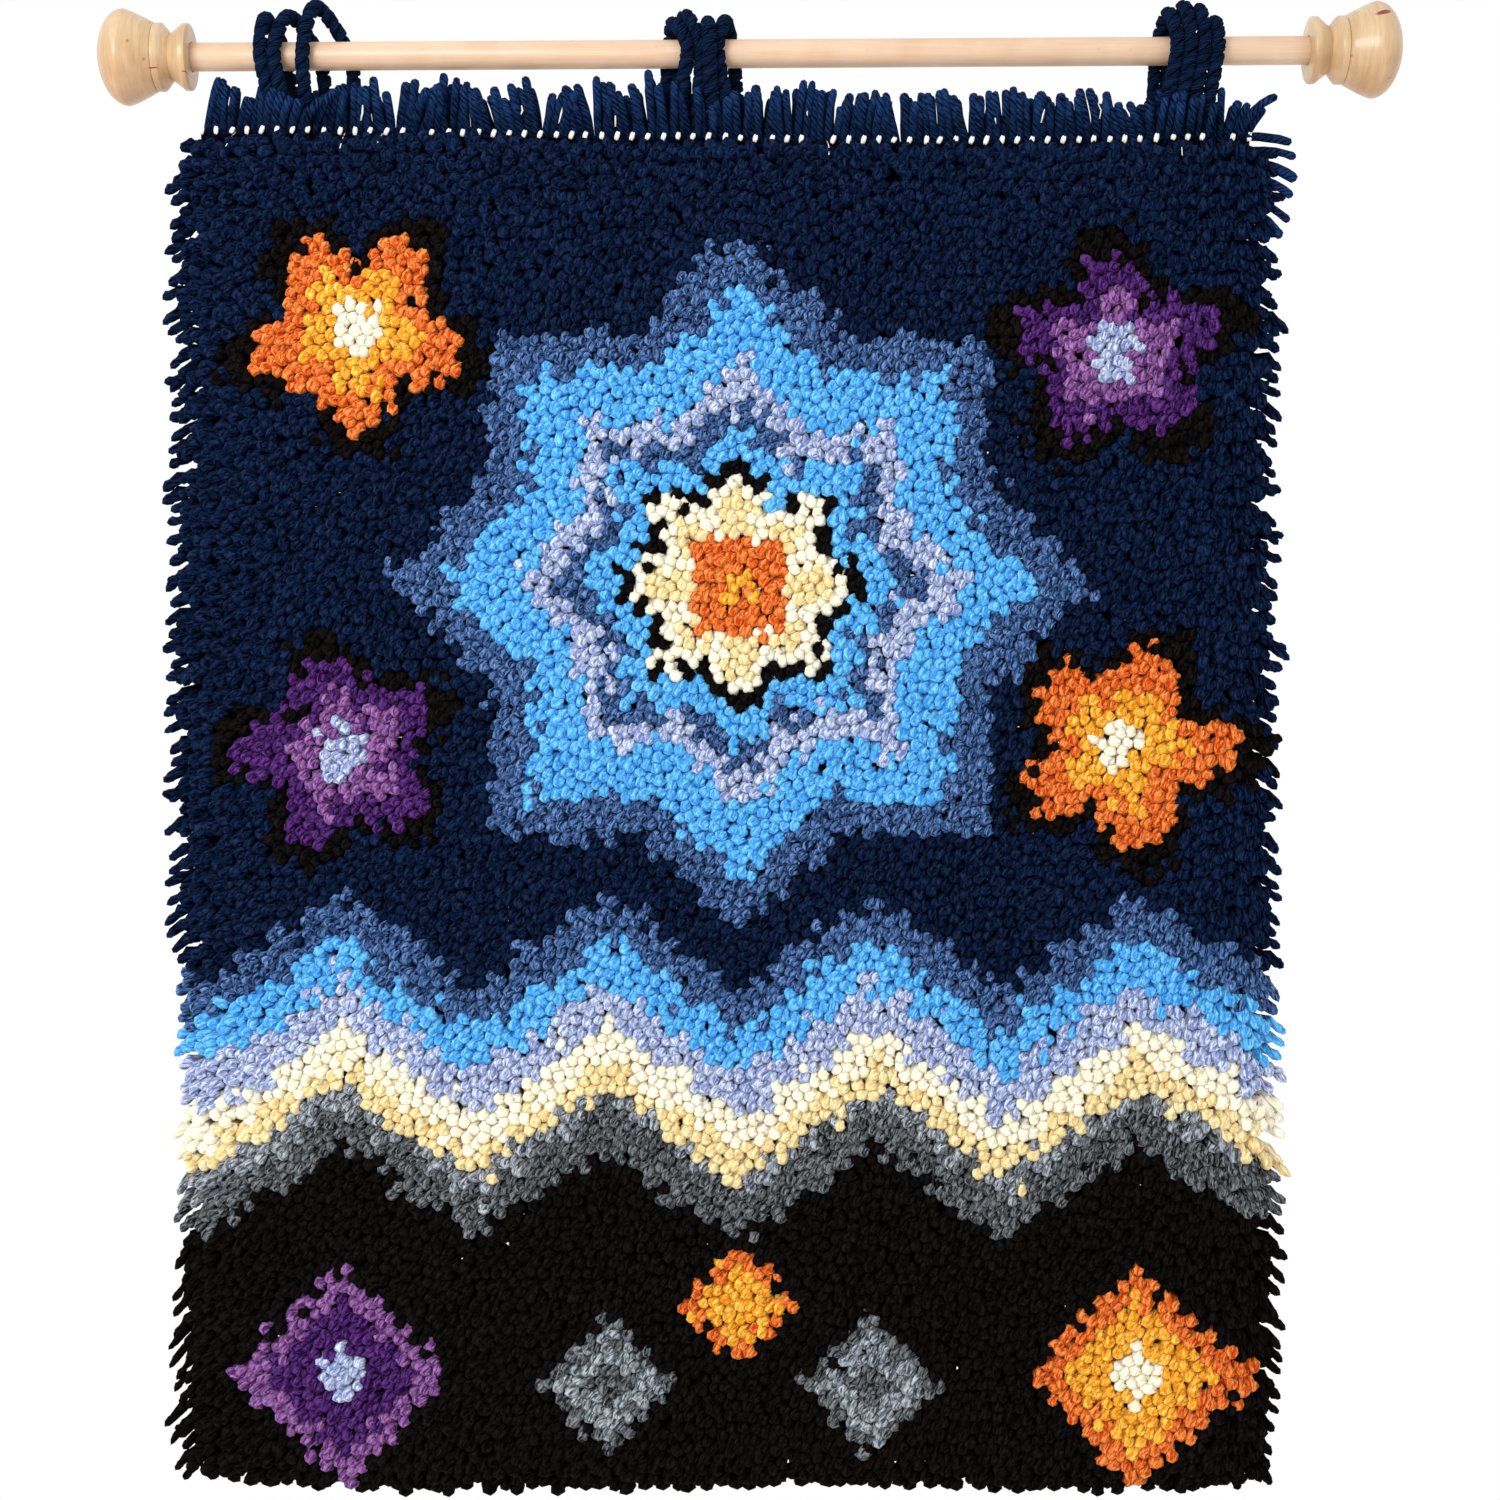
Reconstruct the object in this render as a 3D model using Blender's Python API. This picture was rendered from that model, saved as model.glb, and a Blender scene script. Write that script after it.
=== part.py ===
"""Knotted pile rug hung from a wooden rod by loops of yarn.

The rug is a canvas of cotton threads with short lengths of rug yarn knotted round them, so it is
one flat, thick sheet. Its top edge is folded back, and the knots on the fold stand up as a fringe.
Three groups of yarn loops are drawn through that edge and pass round a dowel with turned knobs.

Metres, +Z up. The origin is the middle of the rod's axis, where a wall's brackets hold it. +X runs
along the rod, and the pile faces -Y.
"""
import math

import bmesh
import bpy
from mathutils import Vector

# Clearance between pieces that touch.
GAP = 0.0003

# Canvas: one knot to a hole, 3.3 holes to the inch, in columns and rows.
HOLE_PITCH = 0.0077
KNOT_COLUMNS = 68
KNOT_ROWS = 86
CANVAS_WIDTH = KNOT_COLUMNS * HOLE_PITCH
CANVAS_HEIGHT = KNOT_ROWS * HOLE_PITCH
CANVAS_MIDDLE_X = -0.0126
CANVAS_LEFT_X = CANVAS_MIDDLE_X - CANVAS_WIDTH / 2
CANVAS_RIGHT_X = CANVAS_MIDDLE_X + CANVAS_WIDTH / 2

# Folded top edge: highest at the left loops, lowest between the centre and right ones.
FOLD_Z = -0.0435
FOLD_SAG = 0.0025
FOLD_SAG_SPAN = 1.45

# Pile: how deep it stands, and how far its ends reach past the canvas.
BACK_Y = 0.0080
EDGE_Y = -0.0040
FRONT_Y = -0.0180
PILE_WAVE = 0.0010
LEFT_REACH = 0.0140
RIGHT_REACH = 0.0160
REACH_LOST_BELOW = 0.0045
BOTTOM_REACH = 0.0155
BACK_INSET = 0.0060
SIDE_ROUND = 0.0240
TOP_ROUND = 0.0150
BOTTOM_ROUND = 0.0200
TOP_CORNER = 0.0100
BOTTOM_CORNER = 0.0180
GRID_ACROSS = 28
GRID_DOWN = 34
GRID_CROWDING = 0.75

# Top fringe: a base along the fold, and a tooth for each knot on it.
FRINGE_FRONT_Y = -0.0058
FRINGE_BACK_Y = BACK_Y
FRINGE_BASE = 0.0060
TOOTH_FOOT = 0.0063
TOOTH_TIP = 0.0046
TOOTH_HEIGHT = 0.0170
TOOTH_HIGHEST_Z = -0.0115
LOOP_ROOM = 0.0045

# Rod, which hangs a shade higher at its right end, and its turned knobs.
ROD_RADIUS = 0.0070
ROD_SHOWN = 0.5608
ROD_TILT = math.radians(0.346)
ROD_SIDES = 40
SOCKET_DEPTH = 0.0120
KNOB_LENGTH = 0.0464
KNOB_RADIUS = 0.0236
KNOB_SIDES = 40

# Knob profile, read from its round end to its flat face.
BALL_LENGTH = 0.0135
BALL_TAPER = 1.2
COLLAR_AT = 0.0284
COLLAR_RADIUS = 0.0167
GROOVE_WIDTH = 0.0006
GROOVE_DEPTH = 0.0006
COLLAR_WIDTH = 0.0030
WAIST_AT = 0.0364
WAIST_RADIUS = 0.0114
WAIST_TAPER = 1.15
FLANGE = (
    # distance from the round end, radius
    (0.0421, 0.0157),
    (0.0427, 0.0163),
    (0.0452, 0.0164),
    (0.0458, 0.0160),
    (0.0462, 0.0150),
)

# Hanging loops of twisted yarn.
YARN_RADIUS = 0.0032
LEG_Y = ROD_RADIUS + YARN_RADIUS + GAP
FRONT_FOOT_Y = -0.0025
BACK_FOOT_Y = 0.0047
FOOT_STRAIGHT = 0.0030
LEG_BEND_Z = -0.0170
SLACK_WIDTH = 0.82
ROUTE_STEP = 0.0060
LOOPS = (
    # name, front foot x, front x at the rod, how far it stands forward there, crest x, crest z,
    # back x at the rod, back foot x
    ("loop_left_1", -0.2390, -0.2440, 0.0, -0.2430, 0.0176, -0.2350, -0.2280),
    ("loop_left_2", -0.2310, -0.2360, 0.0, -0.2304, 0.0187, -0.2175, -0.2120),
    ("loop_left_3", -0.2225, -0.2230, 0.0, -0.2177, 0.0237, -0.2020, -0.1990),
    ("loop_centre_1", -0.0355, -0.0310, 0.0, -0.0400, 0.0150, -0.0440, -0.0440),
    ("loop_centre_2", -0.0270, -0.0242, 0.0, -0.0330, 0.0187, -0.0368, -0.0370),
    ("loop_centre_3", -0.0105, -0.0162, 0.0, -0.0121, 0.0160, -0.0080, -0.0055),
    ("loop_centre_4", -0.0188, -0.0202, 0.0064, -0.0212, 0.0150, -0.0220, -0.0220),
    ("loop_right_1", 0.2063, 0.2115, 0.0, 0.2100, 0.0200, 0.2030, 0.1996),
    ("loop_right_2", 0.2134, 0.2191, 0.0, 0.2176, 0.0234, 0.2105, 0.2068),
    ("loop_right_3", 0.2206, 0.2266, 0.0, 0.2252, 0.0218, 0.2180, 0.2142),
    ("loop_right_4", 0.2278, 0.2340, 0.0, 0.2330, 0.0156, 0.2256, 0.2216),
)

PILE_COLOUR = (0.020, 0.045, 0.140)
FRINGE_COLOUR = (0.012, 0.030, 0.095)
YARN_COLOUR = (0.010, 0.024, 0.080)
ROD_COLOUR = (0.820, 0.600, 0.370)
KNOB_COLOUR = (0.710, 0.480, 0.250)


def remove_objects():
    for obj in list(bpy.data.objects):
        bpy.data.objects.remove(obj, do_unlink=True)


def material(name, colour, roughness):
    made = bpy.data.materials.new(name)
    made.use_nodes = True
    shader = made.node_tree.nodes["Principled BSDF"]
    shader.inputs["Base Color"].default_value = (*colour, 1.0)
    shader.inputs["Roughness"].default_value = roughness
    shader.inputs["Metallic"].default_value = 0.0
    return made


def place(name, data, finish, parent=None):
    obj = bpy.data.objects.new(name, data)
    obj.data.materials.append(finish)
    obj.parent = parent
    bpy.context.scene.collection.objects.link(obj)
    return obj


def mesh_from(bm, name, crease=math.radians(35)):
    bm.normal_update()
    bmesh.ops.recalc_face_normals(bm, faces=bm.faces)
    mesh = bpy.data.meshes.new(name)
    bm.to_mesh(mesh)
    bm.free()
    mesh.shade_smooth()
    mesh.set_sharp_from_angle(angle=crease)
    return mesh


def between(start, end, share):
    return start + (end - start) * share


def bulge(share):
    """Quarter-round rise from 0 at the edge to 1 at the end of the rounding."""
    inward = min(max(share, 0.0), 1.0)
    return math.sqrt(1.0 - (1.0 - inward) ** 2)


def fold_z(x):
    """Height of the canvas's folded top edge, which sags between its loops."""
    along = (x - CANVAS_MIDDLE_X) / (CANVAS_WIDTH / 2)
    return FOLD_Z + FOLD_SAG * math.cos(math.pi * (along + 1.0) / FOLD_SAG_SPAN)


def bottom_z(x):
    """Height that the lowest pile ends hang to."""
    return FOLD_Z - CANVAS_HEIGHT - BOTTOM_REACH + 0.0015 * math.sin(x * 41.0)


def side_reach(reach, down):
    """How far the pile's ends stand past the canvas's side, from 0 at its top to 1 at its foot."""
    uneven = 0.0012 * math.sin(down * 19.0) + 0.0008 * math.sin(down * 47.0 + 1.0)
    return reach - REACH_LOST_BELOW * down * down + uneven


# Rug: canvas and pile in one flat solid.

def crowd(share):
    """Moves evenly spaced lines towards both ends, where the pile's edge is round."""
    return share - GRID_CROWDING * math.sin(2 * math.pi * share) / (2 * math.pi)


def rounded_corner(side, end, radius):
    """Distances from a corner's two edges, drawn in so that the corner is an arc."""
    if side >= radius or end >= radius:
        return side, end
    across = (radius - side) / radius
    along = (radius - end) / radius
    draw = max(across, along) / math.hypot(across, along)
    return radius * (1.0 - across * draw), radius * (1.0 - along * draw)


def rug_point(across, down, inset=0.0):
    """A point of the pile's front, by its shares of the width and the height."""
    left = CANVAS_LEFT_X - side_reach(LEFT_REACH, down) + inset
    right = CANVAS_RIGHT_X + side_reach(RIGHT_REACH, down) - inset
    x = between(left, right, across)
    top = fold_z(x)
    foot = bottom_z(x) + inset
    z = between(top, foot, down)
    from_side = min(x - left, right - x)
    from_top = top - z
    from_foot = z - foot
    upper = from_top < from_foot
    end = from_top if upper else from_foot
    radius = TOP_CORNER if upper else BOTTOM_CORNER
    depth = (bulge(from_side / SIDE_ROUND) * bulge(from_top / TOP_ROUND)
             * bulge(from_foot / BOTTOM_ROUND))
    side, end = rounded_corner(from_side, end, radius)
    x = left + side if across < 0.5 else right - side
    z = top - end if upper else foot + end
    wave = PILE_WAVE * math.sin(x * 37.0 + 1.0) * math.sin(z * 29.0)
    return Vector((x, between(EDGE_Y, FRONT_Y + wave, depth), z))


def rug_mesh():
    bm = bmesh.new()
    bmesh.ops.create_grid(bm, x_segments=GRID_ACROSS, y_segments=GRID_DOWN, size=0.5)
    copied = bmesh.ops.extrude_face_region(bm, geom=bm.faces[:], use_keep_orig=True)["geom"]
    back_faces = [item for item in copied if isinstance(item, bmesh.types.BMFace)]
    back = {item for item in copied if isinstance(item, bmesh.types.BMVert)}
    for vert in bm.verts:
        across = crowd(vert.co.x + 0.5)
        down = crowd(0.5 - vert.co.y)
        if vert in back:
            vert.co = rug_point(across, down, BACK_INSET)
            vert.co.y = BACK_Y
        else:
            vert.co = rug_point(across, down)
    bmesh.ops.dissolve_faces(bm, faces=back_faces, use_verts=True)
    return mesh_from(bm, "rug")


# Top fringe: one comb along the fold.

def loop_spans():
    """The stretches of the fold that the loops' legs take up."""
    for group in ("left", "centre", "right"):
        rows = [row for row in LOOPS if group in row[0]]
        places = [x for row in rows for x in (row[1], row[2], row[6], row[7])]
        yield min(places) - LOOP_ROOM, max(places) + LOOP_ROOM


def has_tooth(x):
    half = TOOTH_FOOT / 2
    return not any(low < x + half and x - half < high for low, high in loop_spans())


def fringe_outline():
    base = GAP + FRINGE_BASE
    edges = [CANVAS_LEFT_X + column * HOLE_PITCH for column in range(KNOT_COLUMNS + 1)]
    outline = [Vector((x, FRINGE_FRONT_Y, fold_z(x) + GAP)) for x in reversed(edges)]
    outline.append(Vector((edges[0], FRINGE_FRONT_Y, fold_z(edges[0]) + base)))
    for column, edge in enumerate(edges[:-1]):
        middle = edge + HOLE_PITCH / 2
        if has_tooth(middle):
            uneven = 0.0040 * math.sin(column * 2.1) + 0.0030 * math.sin(column * 0.73 + 1.0)
            lean = 0.0012 * math.sin(column * 1.7)
            foot = fold_z(middle) + base
            tip = min(foot + TOOTH_HEIGHT + uneven, TOOTH_HIGHEST_Z)
            outline.append(Vector((middle - TOOTH_FOOT / 2, FRINGE_FRONT_Y, foot)))
            outline.append(Vector((middle - TOOTH_TIP / 2 + lean, FRINGE_FRONT_Y, tip)))
            outline.append(Vector((middle + TOOTH_TIP / 2 + lean, FRINGE_FRONT_Y, tip)))
            outline.append(Vector((middle + TOOTH_FOOT / 2, FRINGE_FRONT_Y, foot)))
        else:
            outline.append(Vector((middle, FRINGE_FRONT_Y, fold_z(middle) + base)))
    outline.append(Vector((edges[-1], FRINGE_FRONT_Y, fold_z(edges[-1]) + base)))
    return outline


def fringe_mesh():
    bm = bmesh.new()
    face = bm.faces.new([bm.verts.new(point) for point in fringe_outline()])
    copied = bmesh.ops.extrude_face_region(bm, geom=[face], use_keep_orig=True)["geom"]
    thickness = Vector((0.0, FRINGE_BACK_Y - FRINGE_FRONT_Y, 0.0))
    moved = [item for item in copied if isinstance(item, bmesh.types.BMVert)]
    bmesh.ops.translate(bm, verts=moved, vec=thickness)
    return mesh_from(bm, "top_fringe")


# Hanging loops.

def smooth_route(points, step):
    """Points along one smooth curve through the route's own points, about a step apart."""
    ends = [points[0] * 2 - points[1]] + points + [points[-1] * 2 - points[-2]]
    route = []
    for before, start, end, after in zip(ends, ends[1:], ends[2:], ends[3:]):
        count = max(2, round((end - start).length / step))
        for index in range(count):
            t = index / count
            drift = (end - before) * t + (before * 2 - start * 5 + end * 4 - after) * t ** 2
            drift += (start * 3 - before - end * 3 + after) * t ** 3
            route.append(start + drift * 0.5)
    route.append(points[-1])
    return route


def loop_points(row):
    """Front foot, up before the rod, slack over it, down behind it to the back foot."""
    name, front_foot_x, front_x, forward, crest_x, crest_z, back_x, back_foot_x = row
    rod_z = crest_x * math.tan(ROD_TILT)
    front_foot = fold_z(front_foot_x) + FRINGE_BASE + 2 * GAP
    back_foot = fold_z(back_foot_x) + FRINGE_BASE + 2 * GAP
    front_y = -LEG_Y - forward
    shoulder_z = between(rod_z, crest_z, 0.62)
    front_bend_x = between(front_foot_x, front_x, 0.55)
    back_bend_x = between(back_x, back_foot_x, 0.45)
    up_front = [Vector((front_foot_x, FRONT_FOOT_Y, front_foot + FOOT_STRAIGHT * n)) for n in range(3)]
    down_back = [Vector((back_foot_x, BACK_FOOT_Y, back_foot + FOOT_STRAIGHT * n)) for n in (2, 1, 0)]
    over_rod = [
        Vector((front_bend_x, between(FRONT_FOOT_Y, front_y, 0.72), LEG_BEND_Z)),
        Vector((front_x, front_y, rod_z - 0.0010)),
        Vector((between(front_x, crest_x, 0.45), SLACK_WIDTH * front_y, shoulder_z)),
        Vector((crest_x, 0.0, crest_z)),
        Vector((between(crest_x, back_x, 0.55), SLACK_WIDTH * LEG_Y, shoulder_z)),
        Vector((back_x, LEG_Y, rod_z - 0.0010)),
        Vector((back_bend_x, between(LEG_Y, BACK_FOOT_Y, 0.28), LEG_BEND_Z)),
    ]
    return up_front + over_rod + down_back


def loop_curve(row):
    points = smooth_route(loop_points(row), ROUTE_STEP)
    curve = bpy.data.curves.new(row[0], "CURVE")
    curve.dimensions = "3D"
    curve.bevel_depth = YARN_RADIUS
    curve.bevel_resolution = 2
    curve.use_fill_caps = True
    spline = curve.splines.new("POLY")
    spline.points.add(len(points) - 1)
    for point, place_at in zip(spline.points, points):
        point.co = (*place_at, 1.0)
    return curve


# Rod and knobs, along the rod's own X axis.

def rod_mesh():
    length = ROD_SHOWN + 2 * (SOCKET_DEPTH - GAP)
    bm = bmesh.new()
    bmesh.ops.create_cone(bm, cap_ends=True, segments=ROD_SIDES, radius1=ROD_RADIUS,
                          radius2=ROD_RADIUS, depth=length)
    for vert in bm.verts:
        vert.co = Vector((vert.co.z, vert.co.x, vert.co.y))
    return mesh_from(bm, "rod")


def knob_profile():
    """Distance from the round end, and radius, down to the bottom of the rod's socket."""
    profile = [(0.0, 0.0)]
    for index in range(1, 9):
        angle = math.radians(90) * index / 8
        profile.append((BALL_LENGTH * (1 - math.cos(angle)), KNOB_RADIUS * math.sin(angle)))
    for index in range(1, 7):
        share = index / 6
        fall = (KNOB_RADIUS - COLLAR_RADIUS) * share ** BALL_TAPER
        profile.append((between(BALL_LENGTH, COLLAR_AT, share), KNOB_RADIUS - fall))
    groove_foot = (COLLAR_AT + GROOVE_WIDTH / 2, COLLAR_RADIUS - GROOVE_DEPTH)
    profile.append(groove_foot)
    profile.append((COLLAR_AT + GROOVE_WIDTH, COLLAR_RADIUS))
    collar_end = COLLAR_AT + GROOVE_WIDTH + COLLAR_WIDTH
    for index in range(5):
        share = index / 4
        fall = (COLLAR_RADIUS - WAIST_RADIUS) * share ** WAIST_TAPER
        profile.append((between(collar_end, WAIST_AT, share), COLLAR_RADIUS - fall))
    profile.extend(FLANGE)
    socket_radius = ROD_RADIUS + GAP
    profile.append((KNOB_LENGTH, socket_radius))
    profile.append((KNOB_LENGTH - SOCKET_DEPTH, socket_radius))
    profile.append((KNOB_LENGTH - SOCKET_DEPTH, 0.0))
    return profile


def knob_mesh(name, side):
    """A knob turned about X, its flat face at the end of the rod that shows."""
    tip = side * (ROD_SHOWN / 2 + KNOB_LENGTH)
    bm = bmesh.new()
    verts = [bm.verts.new((tip - side * along, 0.0, radius)) for along, radius in knob_profile()]
    edges = [bm.edges.new(pair) for pair in zip(verts, verts[1:])]
    bmesh.ops.spin(bm, geom=verts + edges, axis=(1, 0, 0), cent=(0, 0, 0), steps=KNOB_SIDES,
                   angle=2 * math.pi, use_merge=True)
    bmesh.ops.remove_doubles(bm, verts=bm.verts, dist=0.00001)
    return mesh_from(bm, name)


def main():
    remove_objects()
    yarn = material("hanging_yarn", YARN_COLOUR, 0.9)
    wood = material("knob_wood", KNOB_COLOUR, 0.35)
    place("rug", rug_mesh(), material("pile", PILE_COLOUR, 0.95))
    place("top_fringe", fringe_mesh(), material("fringe_yarn", FRINGE_COLOUR, 0.95))
    for row in LOOPS:
        place(row[0], loop_curve(row), yarn)
    rod_axis = bpy.data.objects.new("rod_axis", None)
    rod_axis.rotation_euler.y = -ROD_TILT
    bpy.context.scene.collection.objects.link(rod_axis)
    place("rod", rod_mesh(), material("rod_wood", ROD_COLOUR, 0.5), rod_axis)
    place("knob_left", knob_mesh("knob_left", -1), wood, rod_axis)
    place("knob_right", knob_mesh("knob_right", 1), wood, rod_axis)


main()
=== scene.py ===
# %% [markdown]
# # A knotted pile rug on its rod
# This wall rug is made on an open cotton canvas. Short lengths of rug yarn are knotted round the
# canvas threads one hole at a time, so each knot leaves two cut ends standing on the face. The top
# edge is folded back, its knots stand up as a fringe, and loops of doubled yarn hang the rug from a
# wooden dowel with two turned knobs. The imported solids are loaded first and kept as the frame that
# every modelled piece is fitted to. Everything is in metres: +X runs along the rod, +Z is up, and
# the pile faces -Y.

# %% Load the frame
import math

import bpy
import numpy as np
from mathutils import Matrix, Vector
from mathutils.bvhtree import BVHTree
from mathutils.kdtree import KDTree


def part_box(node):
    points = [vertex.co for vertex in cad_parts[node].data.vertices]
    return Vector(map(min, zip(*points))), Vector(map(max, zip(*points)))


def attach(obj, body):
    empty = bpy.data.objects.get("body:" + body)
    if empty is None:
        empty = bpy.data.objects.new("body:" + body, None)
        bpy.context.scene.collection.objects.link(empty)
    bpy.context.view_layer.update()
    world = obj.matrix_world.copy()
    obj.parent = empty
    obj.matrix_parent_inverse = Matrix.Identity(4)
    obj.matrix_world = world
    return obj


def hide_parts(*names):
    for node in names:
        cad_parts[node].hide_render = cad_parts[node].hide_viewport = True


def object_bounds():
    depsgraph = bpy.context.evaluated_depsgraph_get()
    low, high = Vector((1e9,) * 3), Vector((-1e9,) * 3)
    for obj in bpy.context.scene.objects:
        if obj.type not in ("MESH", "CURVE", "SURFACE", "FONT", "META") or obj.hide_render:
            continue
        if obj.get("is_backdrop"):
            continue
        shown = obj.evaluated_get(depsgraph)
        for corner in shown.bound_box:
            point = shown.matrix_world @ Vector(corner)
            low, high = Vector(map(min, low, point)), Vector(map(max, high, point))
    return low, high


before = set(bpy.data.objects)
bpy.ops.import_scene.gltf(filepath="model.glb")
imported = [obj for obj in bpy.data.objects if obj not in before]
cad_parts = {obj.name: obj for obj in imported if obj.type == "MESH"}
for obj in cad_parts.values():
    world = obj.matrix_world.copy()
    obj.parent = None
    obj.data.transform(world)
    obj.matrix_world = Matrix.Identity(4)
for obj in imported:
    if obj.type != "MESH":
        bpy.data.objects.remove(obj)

scene = bpy.context.scene
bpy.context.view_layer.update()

# %% [markdown]
# ## The camera
# The rug is seen square on from a little over a metre away, which is close enough for its upper
# rows to show their cut ends and its lower rows to show their sides. A camera this near has a wide
# view, so the distance is set first and the angle of view follows from the rug's height.

# %% Set up the camera
CAMERA_DISTANCE = 1.157
CAMERA_HEIGHT = -0.350
VIEW_ANGLE = math.radians(36.1)

bpy.ops.object.camera_add(location=(0, -CAMERA_DISTANCE, CAMERA_HEIGHT),
                          rotation=(math.radians(90), 0, 0))
scene.camera = bpy.context.object
scene.camera.data.angle = VIEW_ANGLE
scene.view_settings.view_transform = "Standard"
print("camera:", tuple(round(value, 3) for value in scene.camera.location))

# %% [markdown]
# ## The canvas grid
# Rug canvas is sold by its holes, here 3.3 to the inch. The grid is the ruler for everything else:
# a knot's place on the cloth is its column and row. The canvas hangs from a folded edge that sags
# between its loops, and the sag dies away towards the bottom.

# %% Name the grid
rug_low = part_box("rug")[0]
PITCH = 0.0077
COLUMNS, ROWS = 68, 86
CANVAS_WIDTH = COLUMNS * PITCH
CANVAS_HEIGHT = ROWS * PITCH
CANVAS_MIDDLE = -0.0126
CANVAS_LEFT = CANVAS_MIDDLE - CANVAS_WIDTH / 2
CANVAS_Y = 0.0020
FOLD_Z = -0.0435
FOLD_SAG = 0.0025
FOLD_SAG_SPAN = 1.45


def canvas_z(x, below):
    """Height of the canvas at x, so far below its folded edge."""
    along = (x - CANVAS_MIDDLE) / (CANVAS_WIDTH / 2)
    sag = FOLD_SAG * np.cos(math.pi * (along + 1) / FOLD_SAG_SPAN)
    return FOLD_Z - below + sag * (1 - np.clip(below / CANVAS_HEIGHT, 0, 1))


print("canvas:", round(CANVAS_WIDTH, 4), "by", round(CANVAS_HEIGHT, 4), "for", COLUMNS * ROWS, "knots")

# %% [markdown]
# ## The chart
# A rug maker works from a chart with one square to a knot. This one is put together from traditional
# figures, each drawn by a short rule: an eight-pointed star of nested bands on a dark ground,
# rosettes round it, and stepped zigzags over a black border with a row of diamonds. A rule keeps
# every figure even and easy to change, which a long typed chart would not.

# %% Chart the star and the zigzags
chance = np.random.default_rng(7)
column, row = np.meshgrid(np.arange(COLUMNS) + 0.5, np.arange(ROWS) + 0.5)
chart = np.full((ROWS, COLUMNS), "navy", dtype="<U12")

STAR_COLUMN, STAR_ROW = 35.0, 28.0
STAR_UNEVEN, ZIGZAG_UNEVEN = 0.22, 0.25
STAR_BANDS = ((16.2, "slate"), (13.6, "sky"), (10.4, "lavender"), (8.6, "slate"), (7.6, "sky"),
              (6.1, "black"))
ZIGZAG_TOP = 54.0
ZIGZAG_RISE = 6.0
ZIGZAG_SPAN = 17.0
ZIGZAG_BANDS = ((0.0, "slate"), (2.8, "sky"), (5.6, "lavender"), (8.4, "cream"), (10.6, "straw"),
                (12.4, "grey"), (13.6, "charcoal"), (16.4, "black"))


def nested_star(columns, rows):
    """Distance from the middle of a star of two squares, one set on its corner."""
    across, down = np.abs(columns), np.abs(rows)
    return np.minimum(np.maximum(across, down), (across + down) / math.sqrt(2))


def steps_up(columns):
    """Height of the zigzag line in rows, lowest under the star's point."""
    share = np.abs((columns - STAR_COLUMN) / ZIGZAG_SPAN % 1.0 - 0.5) * 2
    return ZIGZAG_RISE * (1 - share)


def fill(measure, limits, yarns):
    """Colours the squares whose measure is under each limit, from the widest limit inwards."""
    for limit, yarn in zip(limits, yarns):
        chart[measure < limit] = yarn


star = nested_star(column - STAR_COLUMN, row - STAR_ROW) + chance.normal(0, STAR_UNEVEN, chart.shape)
fill(star, *zip(*STAR_BANDS))
below_line = row - ZIGZAG_TOP + steps_up(column) + chance.normal(0, ZIGZAG_UNEVEN, chart.shape)
for start, yarn in ZIGZAG_BANDS:
    chart[below_line > start] = yarn
print("ground, star and zigzags:", {str(yarn): int((chart == yarn).sum()) for yarn in np.unique(chart)})

# %% Chart the rosettes and the diamonds
ROSETTES = (
    # column, row, radius, petals, first petal, yarns from the rim to the middle
    (35.0, 28.0, 7.4, 8, 0.0, ("cream", "straw", "orange", "amber")),
    (10.5, 12.0, 8.4, 5, 0.3, ("black", "orange", "amber", "cream")),
    (59.0, 13.0, 8.0, 5, 0.9, ("black", "purple", "mauve", "lavender")),
    (9.5, 39.0, 8.0, 5, 0.7, ("black", "purple", "mauve", "lavender")),
    (59.5, 38.5, 8.4, 5, 0.1, ("black", "orange", "amber", "cream")),
)
ROSETTE_SHARES = (1.0, 0.80, 0.50, 0.24)
PETAL_DEPTH = 0.40
DIAMONDS = (
    # column, row, radius, yarns from the rim to the middle
    (9.5, 79.0, 6.6, ("mauve", "purple", "lavender")),
    (26.5, 79.5, 5.0, ("charcoal", "grey", "charcoal")),
    (35.0, 74.5, 3.6, ("orange", "amber", "amber")),
    (43.5, 79.5, 5.0, ("charcoal", "grey", "charcoal")),
    (60.5, 79.0, 6.6, ("orange", "amber", "cream")),
)
DIAMOND_SHARES = (1.0, 0.72, 0.34)


def petal_reach(columns, rows, petals, first):
    """Distance from the middle of a rosette, shortened where a petal points."""
    turn = np.arctan2(rows, columns) - first
    return np.hypot(columns, rows) / (1 - PETAL_DEPTH + PETAL_DEPTH * np.abs(np.cos(petals * turn / 2)))


for at_column, at_row, radius, petals, first, yarns in ROSETTES:
    fill(petal_reach(column - at_column, row - at_row, petals, first) / radius, ROSETTE_SHARES, yarns)
for at_column, at_row, radius, yarns in DIAMONDS:
    fill((np.abs(column - at_column) + np.abs(row - at_row)) / radius, DIAMOND_SHARES, yarns)
print("whole chart:", {str(yarn): int((chart == yarn).sum()) for yarn in np.unique(chart)})

# %% [markdown]
# ## Yarn
# Rug yarn is four soft plies twisted together, about 4.4 mm thick. Close up it shows slanting
# ridges where the plies turn, fine hairs along them, and a darker foot where little light gets in.
# The grooves between the plies and the foot get painted shade. The finish is worked out along each
# yarn from its own map: one unit round the yarn, and one unit along it for each full turn of the
# plies. A dye card gives one finish a colour, as a shaded and a lit copy of it, and the finish is
# painted between them.

# %% Dye card, with painted shade and painted light
def dye(red, green, blue):
    """A colour from a dye card, 0 to 255, as the linear colour that a shader reads."""
    return tuple(((value / 255 + 0.055) / 1.055) ** 2.4 for value in (red, green, blue)) + (1.0,)


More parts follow.
